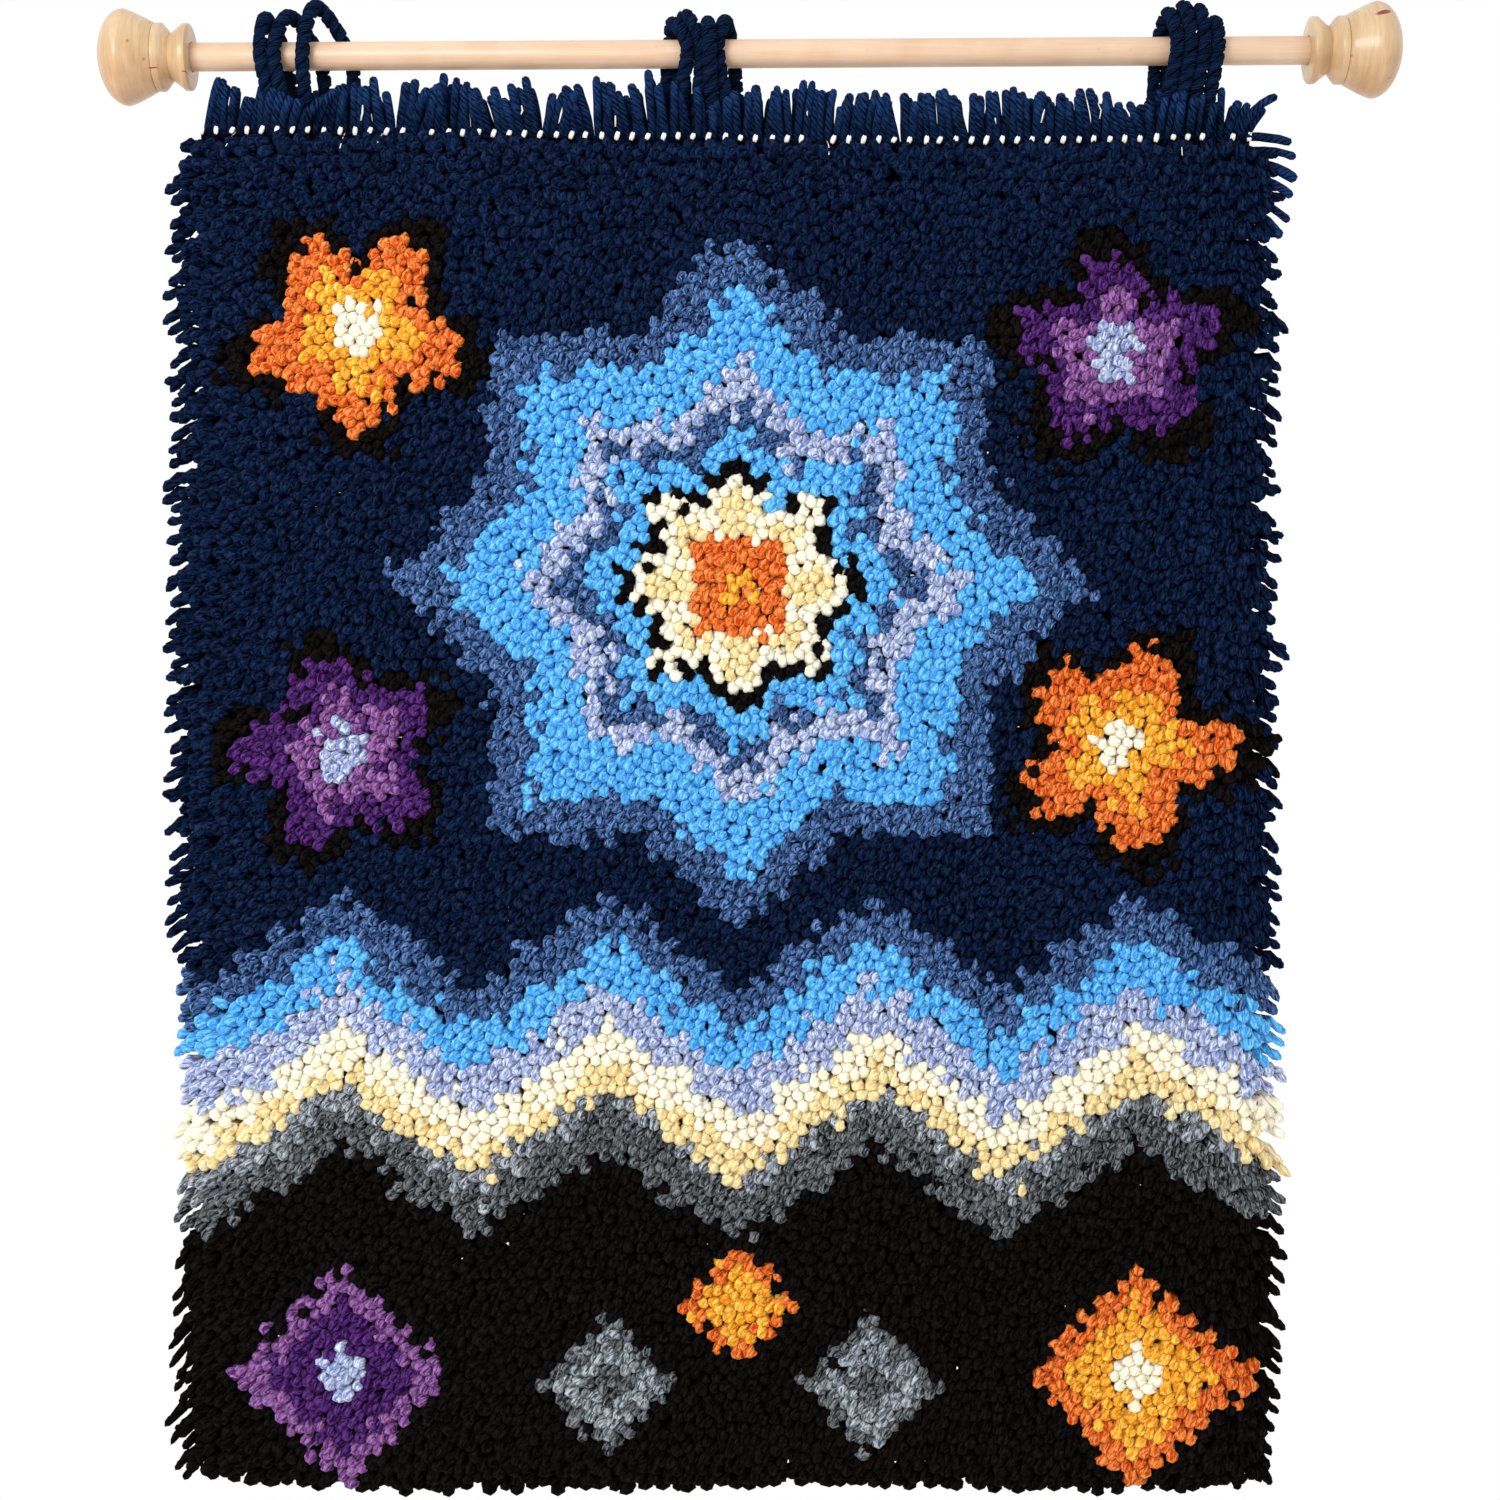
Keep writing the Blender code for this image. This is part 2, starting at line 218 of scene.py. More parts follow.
DYES_AND_PAINTED_SHADE = {
    # yarn: colour of its shaded side, colour of its lit side (painted shade and light), how far light
    # hairs show
    "navy": (dye(1, 4, 14), dye(15, 34, 68), 0.55),
    "slate": (dye(10, 26, 60), dye(78, 114, 168), 0.90),
    "sky": (dye(48, 136, 212), dye(108, 194, 250), 0.35),
    "lavender": (dye(104, 120, 176), dye(198, 208, 232), 0.50),
    "cream": (dye(242, 226, 188), dye(255, 250, 232), 0.25),
    "straw": (dye(220, 186, 118), dye(252, 232, 182), 0.30),
    "orange": (dye(184, 52, 4), dye(242, 142, 64), 0.35),
    "amber": (dye(216, 124, 4), dye(254, 194, 70), 0.35),
    "purple": (dye(30, 8, 50), dye(92, 48, 122), 0.50),
    "mauve": (dye(76, 38, 92), dye(156, 104, 168), 0.50),
    "black": (dye(1, 1, 1), dye(22, 18, 17), 0.25),
    "charcoal": (dye(15, 18, 21), dye(108, 113, 117), 0.80),
    "grey": (dye(54, 61, 70), dye(160, 166, 174), 0.80),
}
print("dyes:", len(DYES_AND_PAINTED_SHADE))

# %% Yarn finish
PLIES = 4
PLY_TURN = 0.0070
LIGHT_REACH = 0.0028
HAIR_SCALE, CLOUD_SCALE = 3.0, 1.1
HAIR_CONTRAST, HAIR_LEVEL = 3.4, -1.30
TONE_CONTRAST, TONE_LEVEL = 0.30, -0.06
FLECK_FROM, FLECK_TO = 0.73, 0.84
FOOT_DARK_TO, TIP_LIT_FROM = 0.35, 0.88


def add_node(tree, kind, inputs=None, **settings):
    """One shader node with its settings, its sockets filled by numbers or by other sockets."""
    made = tree.nodes.new("ShaderNode" + kind)
    for name, value in settings.items():
        setattr(made, name, value)
    for socket, value in (inputs or {}).items():
        if isinstance(value, bpy.types.NodeSocket):
            tree.links.new(value, made.inputs[socket])
        else:
            made.inputs[socket].default_value = value
    return made


def maths(tree, operation, *values):
    """The result of one Math node."""
    return add_node(tree, "Math", dict(enumerate(values)), operation=operation).outputs[0]


def mixed(tree, share, first, second, blend="MIX"):
    """The colour that a Mix node makes of two."""
    mix = add_node(tree, "Mix", {0: share, 6: first, 7: second}, data_type="RGBA", blend_type=blend)
    return mix.outputs[2]


def noise(tree, place, scale, detail, distortion=0.0):
    """Soft cloudy values from a Noise node."""
    inputs = {"Vector": place, "Scale": scale, "Detail": detail, "Distortion": distortion}
    return add_node(tree, "TexNoise", inputs).outputs[0]


def ramp(tree, value, first, last, at_first, at_last):
    """An even change from at_first to at_last while the value goes from first to last."""
    return add_node(tree, "MapRange", {0: value, 1: first, 2: last, 3: at_first, 4: at_last}).outputs[0]


def give_bump(tree, shader, height, distance, strength):
    """Fine relief on a finish, from its height."""
    bump = add_node(tree, "Bump", {"Height": height, "Distance": distance, "Strength": strength})
    tree.links.new(bump.outputs[0], shader.inputs["Normal"])


def new_finish(name, roughness, specular, sheen=0.0):
    """A material with nothing but its shader, whose even values are set on its own sockets."""
    finish = bpy.data.materials.new(name)
    finish.use_nodes = True
    shader = finish.node_tree.nodes["Principled BSDF"]
    shader.inputs["Roughness"].default_value = roughness
    shader.inputs["Specular IOR Level"].default_value = specular
    shader.inputs["Sheen Weight"].default_value = sheen
    return finish, finish.node_tree, shader


def yarn_finish(name, shaded, lit, hairs, foot_shade=None, twist=0.0, ply_depth=0.26, depth=0.0008):
    """Four plies with fine hairs, with painted shade in the ply grooves and towards the foot.
    Pale yarn is glossier and lets more light in, so both follow how pale its lit side is. Each end's
    hairs start at a place of their own."""
    pale = lit[1]
    finish, tree, shader = new_finish(name, 0.92, 0.02 + 0.14 * pale, sheen=0.20 * pale)
    shader.inputs["Sheen Tint"].default_value = lit
    shader.inputs["Subsurface Weight"].default_value = 0.75 * pale ** 0.4
    shader.inputs["Subsurface Radius"].default_value = (1.0, 1.0, 1.0)
    shader.inputs["Subsurface Scale"].default_value = LIGHT_REACH
    foot_shade = foot_shade or 0.30 + 0.68 * math.sqrt(pale)
    place = add_node(tree, "UVMap", uv_map="Yarn").outputs[0]
    around, along = add_node(tree, "SeparateXYZ", {0: place}).outputs[:2]
    told = add_node(tree, "Attribute", attribute_name="yarn_end").outputs["Vector"]
    tone, share, start = add_node(tree, "SeparateXYZ", {0: told}).outputs[:3]
    turned = maths(tree, "MULTIPLY_ADD", along, twist, around)
    ply = maths(tree, "COSINE", maths(tree, "MULTIPLY", turned, 2 * math.pi * PLIES))
    angle = maths(tree, "MULTIPLY", turned, 2 * math.pi)
    hair_place = add_node(tree, "CombineXYZ", {
        0: maths(tree, "ADD", maths(tree, "COSINE", angle), maths(tree, "MULTIPLY", start, 37.0)),
        1: maths(tree, "SINE", angle),
        2: maths(tree, "MULTIPLY", along, 0.8),
    }).outputs[0]
    hair = noise(tree, hair_place, HAIR_SCALE, 3.0)
    cloud = noise(tree, hair_place, CLOUD_SCALE, 1.0)
    # The ply term paints shade in the grooves between the plies and light on their crests; the hairs
    # and the tone are the yarn's own.
    hair_light = maths(tree, "MULTIPLY_ADD", hair, HAIR_CONTRAST, HAIR_LEVEL)
    ply_light = maths(tree, "MULTIPLY_ADD", ply, ply_depth, hair_light)
    light = maths(tree, "ADD", ply_light, maths(tree, "MULTIPLY_ADD", tone, TONE_CONTRAST, TONE_LEVEL))
    # Painted light and shade: each point's colour lies between the shaded and the lit copy of its dye.
    colour = mixed(tree, add_node(tree, "Clamp", {0: light}).outputs[0], shaded, lit)
    bright = tuple(min(value * 1.25 + pale * 0.28 + 0.006, 1.0) for value in lit[:3]) + (1.0,)
    fleck = ramp(tree, maths(tree, "MULTIPLY_ADD", cloud, 0.4, hair), FLECK_FROM, FLECK_TO, 0.0, hairs)
    colour = mixed(tree, fleck, colour, bright)
    # Painted shade: the colour darkens towards each end's foot, down to foot_shade, as if little light
    # got in there.
    painted_foot_dimming = ramp(tree, share, FOOT_DARK_TO, TIP_LIT_FROM, foot_shade, 1.0)
    grey = add_node(tree, "CombineXYZ", {0: painted_foot_dimming, 1: painted_foot_dimming, 2: painted_foot_dimming}).outputs[0]
    colour = mixed(tree, 1.0, colour, grey, blend="MULTIPLY")
    tree.links.new(colour, shader.inputs["Base Color"])
    give_bump(tree, shader, maths(tree, "MULTIPLY_ADD", ply, 0.35, hair), depth, 0.8)
    return finish


yarn_finishes = {yarn: yarn_finish("yarn_" + yarn, *card) for yarn, card in DYES_AND_PAINTED_SHADE.items()}
print("yarn finishes:", len(yarn_finishes))

# %% [markdown]
# ## One yarn end
# Every knot shows two cut ends, and there are over eleven thousand of them, so one end is modelled
# and all the others are copies of it. It starts as a ring of eight points at its foot, every other
# one drawn in as the groove between two plies. The ring is extruded up and widened, because the
# plies open where they were cut, then drawn in and closed at the tip. It has only a few dozen
# faces, and its full length is one unit, which each copy stretches along its own way. The fringe's
# ends and the knots are rings too, with a round and a square one.

# %% Model the yarn shapes
PLY_GROOVE = 0.84


def deselect_all():
    """Nothing selected, so that an operator acts only on what is picked next."""
    if bpy.context.object and bpy.context.object.mode == "EDIT":
        bpy.ops.object.mode_set(mode="OBJECT")
    bpy.ops.object.select_all(action="DESELECT")


def mesh_shape(model):
    """A model's points and faces, with the model removed. The faces are put in order, because an
    operator lists them in any order."""
    points = np.array([vertex.co[:] for vertex in model.data.vertices])
    faces = sorted(tuple(face.vertices) for face in model.data.polygons)
    print(model.name, "has", len(points), "points and", len(faces), "faces")
    bpy.data.objects.remove(model, do_unlink=True)
    return {"points": points, "faces": faces}


def raised_ring(name, sides, stations, pointed, groove=1.0):
    """A ring extruded through (share of the length, radius), with every other point drawn in by the
    groove. Its foot is closed and its tip is a point or flat."""
    deselect_all()
    first_share, first_radius = stations[0]
    bpy.ops.mesh.primitive_circle_add(vertices=sides, radius=first_radius, fill_type="NGON",
                                      location=(0, 0, first_share))
    model = bpy.context.object
    model.name = name
    bpy.ops.object.transform_apply(location=True)
    for vertex in list(model.data.vertices)[1::2]:
        vertex.co.xy *= groove
    bpy.ops.object.mode_set(mode="EDIT")
    bpy.ops.mesh.select_all(action="SELECT")
    for (low, wide), (high, wider) in zip(stations, stations[1:]):
        bpy.ops.mesh.extrude_region_move(TRANSFORM_OT_translate={"value": (0, 0, high - low)})
        factor = wider / wide
        bpy.ops.transform.resize(value=(factor, factor, 1), center_override=(0, 0, high))
    if pointed:
        left = 1.0 - stations[-1][0]
        bpy.ops.mesh.extrude_region_move(TRANSFORM_OT_translate={"value": (0, 0, left)})
        bpy.ops.mesh.merge(type="CENTER")
    bpy.ops.mesh.select_all(action="SELECT")
    bpy.ops.mesh.normals_make_consistent(inside=False)
    bpy.ops.object.mode_set(mode="OBJECT")
    return mesh_shape(model)


PILE_STATIONS = ((0.0, 1.16), (0.58, 1.0), (0.84, 1.06), (0.94, 0.88))
FRINGE_STATIONS = ((0.0, 0.90), (0.15, 0.98), (0.35, 1.0), (0.55, 1.0), (0.75, 1.0), (0.90, 1.04),
                   (0.97, 0.78))
KNOT_STATIONS = ((0.0, 0.9), (0.5, 1.1), (1.0, 0.9))
pile_end = raised_ring("pile_end", 8, PILE_STATIONS, True, PLY_GROOVE)
fringe_end = raised_ring("fringe_end", 8, FRINGE_STATIONS, True)
knot_back = raised_ring("knot_back", 4, KNOT_STATIONS, False)

# %% [markdown]
# ## Copying a shape along many ways
# A copy needs a foot, a tip and one point between them that bends it. All copies are worked out at
# once as arrays: the place on the curve for each point's height, and two directions square to the
# curve that carry the ring. Each copy gets its own roll and a slightly uneven ring, because no two
# cut ends are alike. The copies of one colour are joined into one piece.

# %% Helpers that bend copies
TIP_NARROWING = 3


def between(start, end, share):
    """The value that lies that share of the way from start to end."""
    return start + (end - start) * share


def points_at(x, y, z):
    """Points from their three coordinates, any of which may be one number for all."""
    return np.stack(np.broadcast_arrays(x, y, z), axis=-1)


def unit(vectors):
    """The same directions, each of length one."""
    return vectors / np.linalg.norm(vectors, axis=-1, keepdims=True)


def bent_copies(shape, ways, radii, rolls, uneven, order, twists=0.0, flattened=(0.86, 1.16),
                tapers=0.0):
    """Points of every copy, bent along its foot, middle and tip points and twisted on its way. A
    taper is how much thinner than the shape itself the copy is at its tip."""
    shape_x, shape_y, shape_z = shape["points"].T[:, None]
    share = shape_z[..., None]
    foot, middle, tip = (ways[:, None, index] for index in range(3))
    centre = foot * (1 - share) ** 2 + middle * 2 * share * (1 - share) + tip * share ** 2
    heading = unit((middle - foot) * (1 - share) + (tip - middle) * share)
    chord = unit(ways[:, 2] - ways[:, 0])
    helper = np.where(np.abs(chord[:, :1]) < 0.75, (1.0, 0.0, 0.0), (0.0, 0.0, 1.0))
    side = np.cross(np.cross(chord, helper), chord)[:, None]
    across = unit(np.cross(heading, np.cross(side, heading)))
    front = np.cross(heading, across)
    roll = rolls[:, None] + np.broadcast_to(twists, rolls.shape)[:, None] * shape_z
    along_x = shape_x * np.cos(roll) - shape_y * np.sin(roll)
    along_y = shape_x * np.sin(roll) + shape_y * np.cos(roll)
    swell = 1 + order.normal(0, uneven, along_x.shape)
    flat = order.uniform(*flattened, (len(ways), 1))
    taper = np.broadcast_to(tapers, radii.shape)[:, None] * shape_z ** TIP_NARROWING
    width = radii[:, None] * swell * (1 - taper)
    return (centre + across * (along_x * width * flat)[..., None]
            + front * (along_y * width / flat)[..., None])


# %% Helpers that join copies into a piece
BAKE_MARGIN = 0.06


def smooth_piece(name, points, faces, finish, maps=None, told=None):
    """A smooth mesh piece with its finish, its maps by name, and the values for each point that
    the yarn finish reads."""
    mesh = bpy.data.meshes.new(name)
    mesh.from_pydata(points, [], faces)
    for map_name, places in (maps or {}).items():
        places = np.asarray(places, np.float32).ravel()
        mesh.uv_layers.new(name=map_name).uv.foreach_set("vector", places)
    if told is not None:
        values = mesh.attributes.new("yarn_end", "FLOAT_VECTOR", "POINT")
        values.data.foreach_set("vector", np.asarray(told, np.float32).ravel())
    mesh.shade_smooth()
    mesh.materials.append(finish)
    piece = bpy.data.objects.new(name, mesh)
    scene.collection.objects.link(piece)
    return piece


def yarn_maps(shape):
    """For each corner of the shape's faces: its turn round the yarn, and its share of the length."""
    points, turns, shares = shape["points"], [], []
    for face in shape["faces"]:
        rim = [i for i in face if np.hypot(*points[i][:2]) > 1e-6]
        angle = {i: math.atan2(points[i][1], points[i][0]) / (2 * math.pi) for i in rim}
        is_wall = np.ptp(points[list(face), 2]) > 1e-6
        if is_wall and max(angle.values()) - min(angle.values()) > 0.5:
            angle = {i: turn + (turn < 0) for i, turn in angle.items()}
        middle = sum(angle.values()) / len(angle)
        turns += [angle.get(i, middle) for i in face]
        shares += [points[i][2] for i in face]
    return np.array(turns), np.array(shares)


def joined_copies(name, shape, placed, lengths, tones, lucks, finish, lit=1.0):
    """One piece of all the copies. Each has its own square on the bake map, and one that lies deep
    in the pile gets more painted shade, as lit spreads its darker foot further along it."""
    copies, count = placed.shape[:2]
    starts = np.arange(copies) * count
    faces = [[i + start for i in face] for start in starts.tolist() for face in shape["faces"]]
    turns, shares = yarn_maps(shape)
    yarn_places = np.stack([np.tile(turns, copies), np.outer(lengths / PLY_TURN, shares).ravel()],
                           axis=1)
    across = math.ceil(math.sqrt(copies))
    inner = 1 - 2 * BAKE_MARGIN
    cell_x, cell_y = np.arange(copies)[:, None] % across, np.arange(copies)[:, None] // across
    spread = (turns - turns.min()) / (turns.max() - turns.min())
    bake_places = np.stack([(cell_x + BAKE_MARGIN + inner * spread) / across,
                            (cell_y + BAKE_MARGIN + inner * shares) / across], axis=2)
    # Painted shade: a lit under 1 shortens each point's share of the length, so more of the copy takes
    # the darker foot colour.
    shares_lit = shape["points"][None, :, 2] * np.broadcast_to(lit, tones.shape)[:, None]
    triangles = sum(len(face) - 2 for face in shape["faces"]) * copies
    print(name, "is", copies, "copies and", triangles, "triangles")
    return smooth_piece(name, placed.reshape(-1, 3), faces, finish,
                        {"Yarn": yarn_places, "OFBake": bake_places},
                        points_at(tones[:, None], shares_lit, lucks[:, None]))


# %% [markdown]
# ## How the pile lies
# The two ends of a knot leave it forwards and droop, so their tips sit lower than the knot. Nearer
# the sides they lean outwards, and at the bottom they hang past the canvas. The real rug's corners
# aren't alike, so a table says how far the ends near each edge lean and droop beyond the rest, and
# each rule fades away from its edge. Down the two sides the ends gather in small clumps. Ends can't
# share a place: each tip starts where its knot sends it, and then neighbours push each other apart
# until they are packed like cobbles. The frame's rug solid tells how far forward each tip comes.

# %% Number the knots and say how far each edge reaches
ENDS = 2 * COLUMNS
KNOT_HALF = 0.0019
luck = np.random.default_rng(23)
end_column, end_row = np.meshgrid(np.arange(ENDS), np.arange(ROWS))
knot_column = end_column // 2
knot_x = CANVAS_LEFT + (knot_column + 0.5) * PITCH
knot_z = canvas_z(knot_x, (end_row + 0.5) * PITCH)
side_of_knot = np.where(end_column % 2, 1.0, -1.0)
knots_in = {"left": end_column / 2, "right": (ENDS - 1.0 - end_column) / 2}
from_bottom = ROWS - 1.0 - end_row


def fading(distance, reach):
    """1 at an edge, and smaller the further from it, to about a third at the reach."""
    return np.exp(-distance / reach)


def later(first, last):
    """0 down to the first row, 1 from the last row on, and even steps between them."""
    return np.clip((end_row - first) / (last - first), 0, 1)


def clumps(count, most):
    """Numbers count places so that one to most neighbours share a clump."""
    sizes = luck.integers(1, most + 1, count)
    return np.repeat(np.arange(count), sizes)[:count]


print("ends:", end_column.size, "on", ROWS, "rows of", COLUMNS, "knots")

# %% Send each end where its knot and its edges send it
DROP = 0.0108
TOP_LIFT = 0.36
BOTTOM_HANG = 0.0044
SIDE_LEAN = {"left": -0.0124, "right": 0.0117}
SIDE_REACH, SIDE_POWER = 2.2, 1.3
CORNER_REACH = 1.2
corner_rows = later(60, 72)
lower = (end_row / ROWS) ** 2
EDGE_RULES = (
    # side, knots that it reaches in, which rows it is for, lean to the right, drop
    ("left", 0.4, 1.0, -0.0026, 0.0),
    ("left", 6.0, 1.0, -0.0048, 0.0),
    ("left", 2.0, fading(end_row, 1.6), 0.0070, 0.0),
    ("left", 2.2, later(25, 70), 0.0052, 0.0),
    ("left", 2.2, fading(from_bottom, 3.0), 0.0040, -0.0100),
    ("left", 2.2, 1.0, 0.0, -0.0030),
    ("left", 2.2, lower, 0.0, 0.0042),
    ("left", 2.2, fading(end_row, 2.0), 0.0, 0.0040),
    ("left", 5.0, 1 - lower, 0.0, 0.0026),
    ("left", CORNER_REACH, corner_rows, 0.0, 0.0060),
    ("right", 0.4, 1.0, 0.0020, 0.0),
    ("right", 6.0, 1.0, 0.0022, 0.0),
    ("right", 2.2, later(45, 55), 0.0034, 0.0),
    ("right", 2.2, fading(from_bottom, 3.0), -0.0080, -0.0040),
    ("right", 2.2, 1.0, 0.0, -0.0006),
    ("right", 2.2, lower, 0.0, 0.0042),
)
CLUMP_REACH, CLUMP_MOST, CLUMP_PULL, CLUMP_UNEVEN = 1.3, 3, 0.50, 0.0015
BOTTOM_REACH, BOTTOM_MOST, BOTTOM_UNEVEN = 1.2, 5, 0.0020
PAIR_STEP = 0.0020
HOME_UNEVEN_X, HOME_UNEVEN_Z = 0.0012, 0.0015

lean = sum(SIDE_LEAN[side] * np.exp(-(inward / SIDE_REACH) ** SIDE_POWER)
           for side, inward in knots_in.items())
drop = DROP * (1 - TOP_LIFT * fading(end_row, 3.0)) + BOTTOM_HANG * fading(from_bottom, 2.2)
# Slow waves, as a hand leaves them when it smooths the pile.
lean += 0.0011 * np.sin(knot_column * 0.31 + 1.2 * np.sin(end_row * 0.13))
lean += 0.0008 * np.sin(end_row * 0.23)
drop += 0.0008 * np.sin(knot_column * 0.27 + end_row * 0.19)
for side, reach, rows, more_lean, more_drop in EDGE_RULES:
    weight = fading(knots_in[side], reach) * rows
    lean += more_lean * weight
    drop += more_drop * weight
for inward in knots_in.values():
    clump = clumps(ROWS, CLUMP_MOST)
    middle_row = np.array([np.flatnonzero(clump == number).mean() for number in clump])
    pull = (middle_row - np.arange(ROWS)) * PITCH * CLUMP_PULL
    outward = luck.normal(0, CLUMP_UNEVEN, clump.max() + 1)[clump]
    drop += fading(inward, CLUMP_REACH) * pull[:, None]
    lean += fading(inward, CLUMP_REACH) * outward[:, None] * np.sign(lean)
clump = clumps(ENDS, BOTTOM_MOST)
drop += fading(from_bottom, BOTTOM_REACH) * luck.normal(0, BOTTOM_UNEVEN, clump.max() + 1)[clump]
higher_end = luck.choice((-1.0, 1.0), (ROWS, COLUMNS))[end_row, knot_column]
home_x = knot_x + side_of_knot * KNOT_HALF + lean + luck.normal(0, HOME_UNEVEN_X, lean.shape)
home_z = (knot_z - drop + side_of_knot * higher_end * PAIR_STEP
          + luck.normal(0, HOME_UNEVEN_Z, drop.shape))
print("homes:", "x", home_x.min().round(4), home_x.max().round(4), "lowest", home_z.min().round(4))

# %% Pack the tips
TIP_ROOM = 0.0056
START_UNEVEN_X, START_UNEVEN_Z = 0.0020, 0.0024


def pack(x, z, rounds=60, room=TIP_ROOM, squash=0.90, spring=0.045, give=0.30):
    """Pushes tips that lie too close apart, while each is drawn to where its knot sends it."""
    for _ in range(rounds):
        move_x, move_z = (home_x - x) * spring, (home_z - z) * spring
        for down in range(3):
            for along in range(-3 if down else 1, 4):
                here = np.s_[:ROWS - down, max(0, -along):ENDS - max(0, along)]
                there = np.s_[down:, max(0, along):ENDS + min(0, along)]
                gap_x, gap_z = x[there] - x[here], (z[there] - z[here]) * squash
                far = np.hypot(gap_x, gap_z) + 1e-9
                push = np.clip(room - far, 0, None) / far * give
                for move, gap in ((move_x, gap_x), (move_z, gap_z)):
                    move[here] -= push * gap
                    move[there] += push * gap
        x, z = x + move_x, z + move_z
    return x, z


tip_x, tip_z = pack(home_x + luck.normal(0, START_UNEVEN_X, home_x.shape),
                    home_z + luck.normal(0, START_UNEVEN_Z, home_z.shape))
print("tips:", "x", tip_x.min().round(4), tip_x.max().round(4), "lowest", tip_z.min().round(4))

# %% Bring the tips forward to the rug's face
EDGE_TIP_Y = -0.0052
DEEPER, PROUDER = 0.0009, 0.0002
rug_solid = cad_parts["rug"]
rug_face = BVHTree.FromPolygons([vertex.co[:] for vertex in rug_solid.data.vertices],
                                [face.vertices[:] for face in rug_solid.data.polygons])


def face_y(x, z):
    """How far forward the rug's face stands at a place, or at its rim beyond it."""
    hit = rug_face.ray_cast(Vector((x, -1, z)), Vector((0, 1, 0)))[0]
    return hit.y if hit is not None and hit.y < EDGE_TIP_Y else EDGE_TIP_Y


tip_y = np.array([face_y(x, z) for x, z in zip(tip_x.ravel(), tip_z.ravel())]).reshape(tip_x.shape)
tip_y += luck.uniform(0.0, DEEPER, tip_y.shape) - luck.exponential(PROUDER, tip_y.shape)
print("foremost tip:", tip_y.min().round(4), "and the solid's face", round(rug_low.y, 4))

# %% [markdown]
# ## The pile
# Each end's way runs from its knot to its tip, with a point between that sends it forwards first
# and then down. Most ends fill the room between their neighbours, which is measured from the six
# nearest tips. The outermost ends stand alone and show their sides, so they stay about as thin as
# the yarn and taper a little, and they bend later.

# %% Shape each end
FOOT_HALF, FOOT_Y, FOOT_DROP = 0.0014, 0.0005, 0.0008
TIP_SHARE = 0.62
LEAST_TIP, MOST_TIP = 0.0030, 0.0046
LONE_RADIUS, LONE_REACH = 0.00400, 1.1
THIN_CORNER = 0.22
BEND_AT = (0.52, 0.78, 0.25)
SIDE_BEND, SIDE_BEND_REACH = 0.14, 3.5
BEND_UNEVEN = 0.0008
RADIUS_UNEVEN = 0.05
TWIST, TWIST_UNEVEN = 5.0, 0.8
KNOT_TONE, END_TONE = 0.6, 0.4

nearest_side = np.minimum(*knots_in.values())
foot = points_at(knot_x + side_of_knot * FOOT_HALF, FOOT_Y, knot_z - FOOT_DROP).reshape(-1, 3)
tip = points_at(tip_x, tip_y, tip_z).reshape(-1, 3)
middle = foot + (tip - foot) * BEND_AT
middle[:, 1] += SIDE_BEND * fading(nearest_side, SIDE_BEND_REACH).ravel() * (tip - foot)[:, 1]
middle += luck.normal(0, BEND_UNEVEN, middle.shape)
pile_ways = np.stack([foot, middle, tip], axis=1)
tip_tree = KDTree(len(tip))
for number, (x, y, z) in enumerate(tip):
    tip_tree.insert((x, 0, z), number)
tip_tree.balance()
room_round = np.array([sum(near[2] for near in tip_tree.find_n((x, 0, z), 7)) / 6 for x, y, z in tip])
lone = fading(nearest_side, LONE_REACH).ravel()
pile_radii = between(np.clip(TIP_SHARE * room_round, LEAST_TIP, MOST_TIP), LONE_RADIUS, lone)
lower_left = (fading(knots_in["left"], CORNER_REACH) * corner_rows).ravel()
pile_radii *= luck.normal(1, RADIUS_UNEVEN, pile_radii.size) * (1 - THIN_CORNER * lower_left)
print("room round a tip:", room_round.min().round(4), "to", room_round.max().round(4), "metres")
pile_rolls = luck.uniform(0, 2 * math.pi, tip_x.size)
pile_twists = luck.normal(TWIST, TWIST_UNEVEN, tip_x.size)
knot_tone = luck.uniform(0, 1, (ROWS, COLUMNS))[end_row, knot_column].ravel()
pile_tones = np.clip(knot_tone * KNOT_TONE + luck.uniform(0, END_TONE, tip_x.size), 0, 1)
pile_lucks = luck.uniform(0, 1, tip_x.size)
pile_lengths = np.linalg.norm(middle - foot, axis=1) + np.linalg.norm(tip - middle, axis=1)
print("ends are", round(float(pile_lengths.mean()) * 1000, 1), "mm long on average")

# %% Make the pile, one piece for each colour
PILE_UNEVEN, PILE_FLATTENED = 0.08, (0.82, 1.02)
SIDE_TAPER = 0.48
MOST_COPIES = 3100
end_yarn = chart[end_row, knot_column].ravel()
pile_pieces = []
for yarn in DYES_AND_PAINTED_SHADE:
    picked = np.flatnonzero(end_yarn == yarn)
    parts = np.array_split(picked, math.ceil(len(picked) / MOST_COPIES))
    for number, part in enumerate(parts, 1):
        placed = bent_copies(pile_end, pile_ways[part], pile_radii[part], pile_rolls[part],
                             PILE_UNEVEN, luck, pile_twists[part], flattened=PILE_FLATTENED,
                             tapers=SIDE_TAPER * lone[part])
        name = f"pile_{yarn}" + (f"_{number}" if len(parts) > 1 else "")
        pile_pieces.append(joined_copies(name, pile_end, placed, pile_lengths[part], pile_tones[part],
                                         pile_lucks[part], yarn_finishes[yarn]))
for piece in pile_pieces:
    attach(piece, "root")
print("pile:", len(pile_pieces), "pieces")

# %% [markdown]
# ## The knots seen from behind
# Behind the face, each knot passes round one cotton bar between two holes. From the back that is a
# short arch of yarn, and the whole chart shows again, coarser, between the pale canvas threads.
# One four-sided arch is copied once for each knot. Near the top the cloth is double, so there the
# arches reach further back. In front, the knot's own head lies across its two ends. The upper rows
# are seen from a little below, so they need these heads to hide the canvas between them.

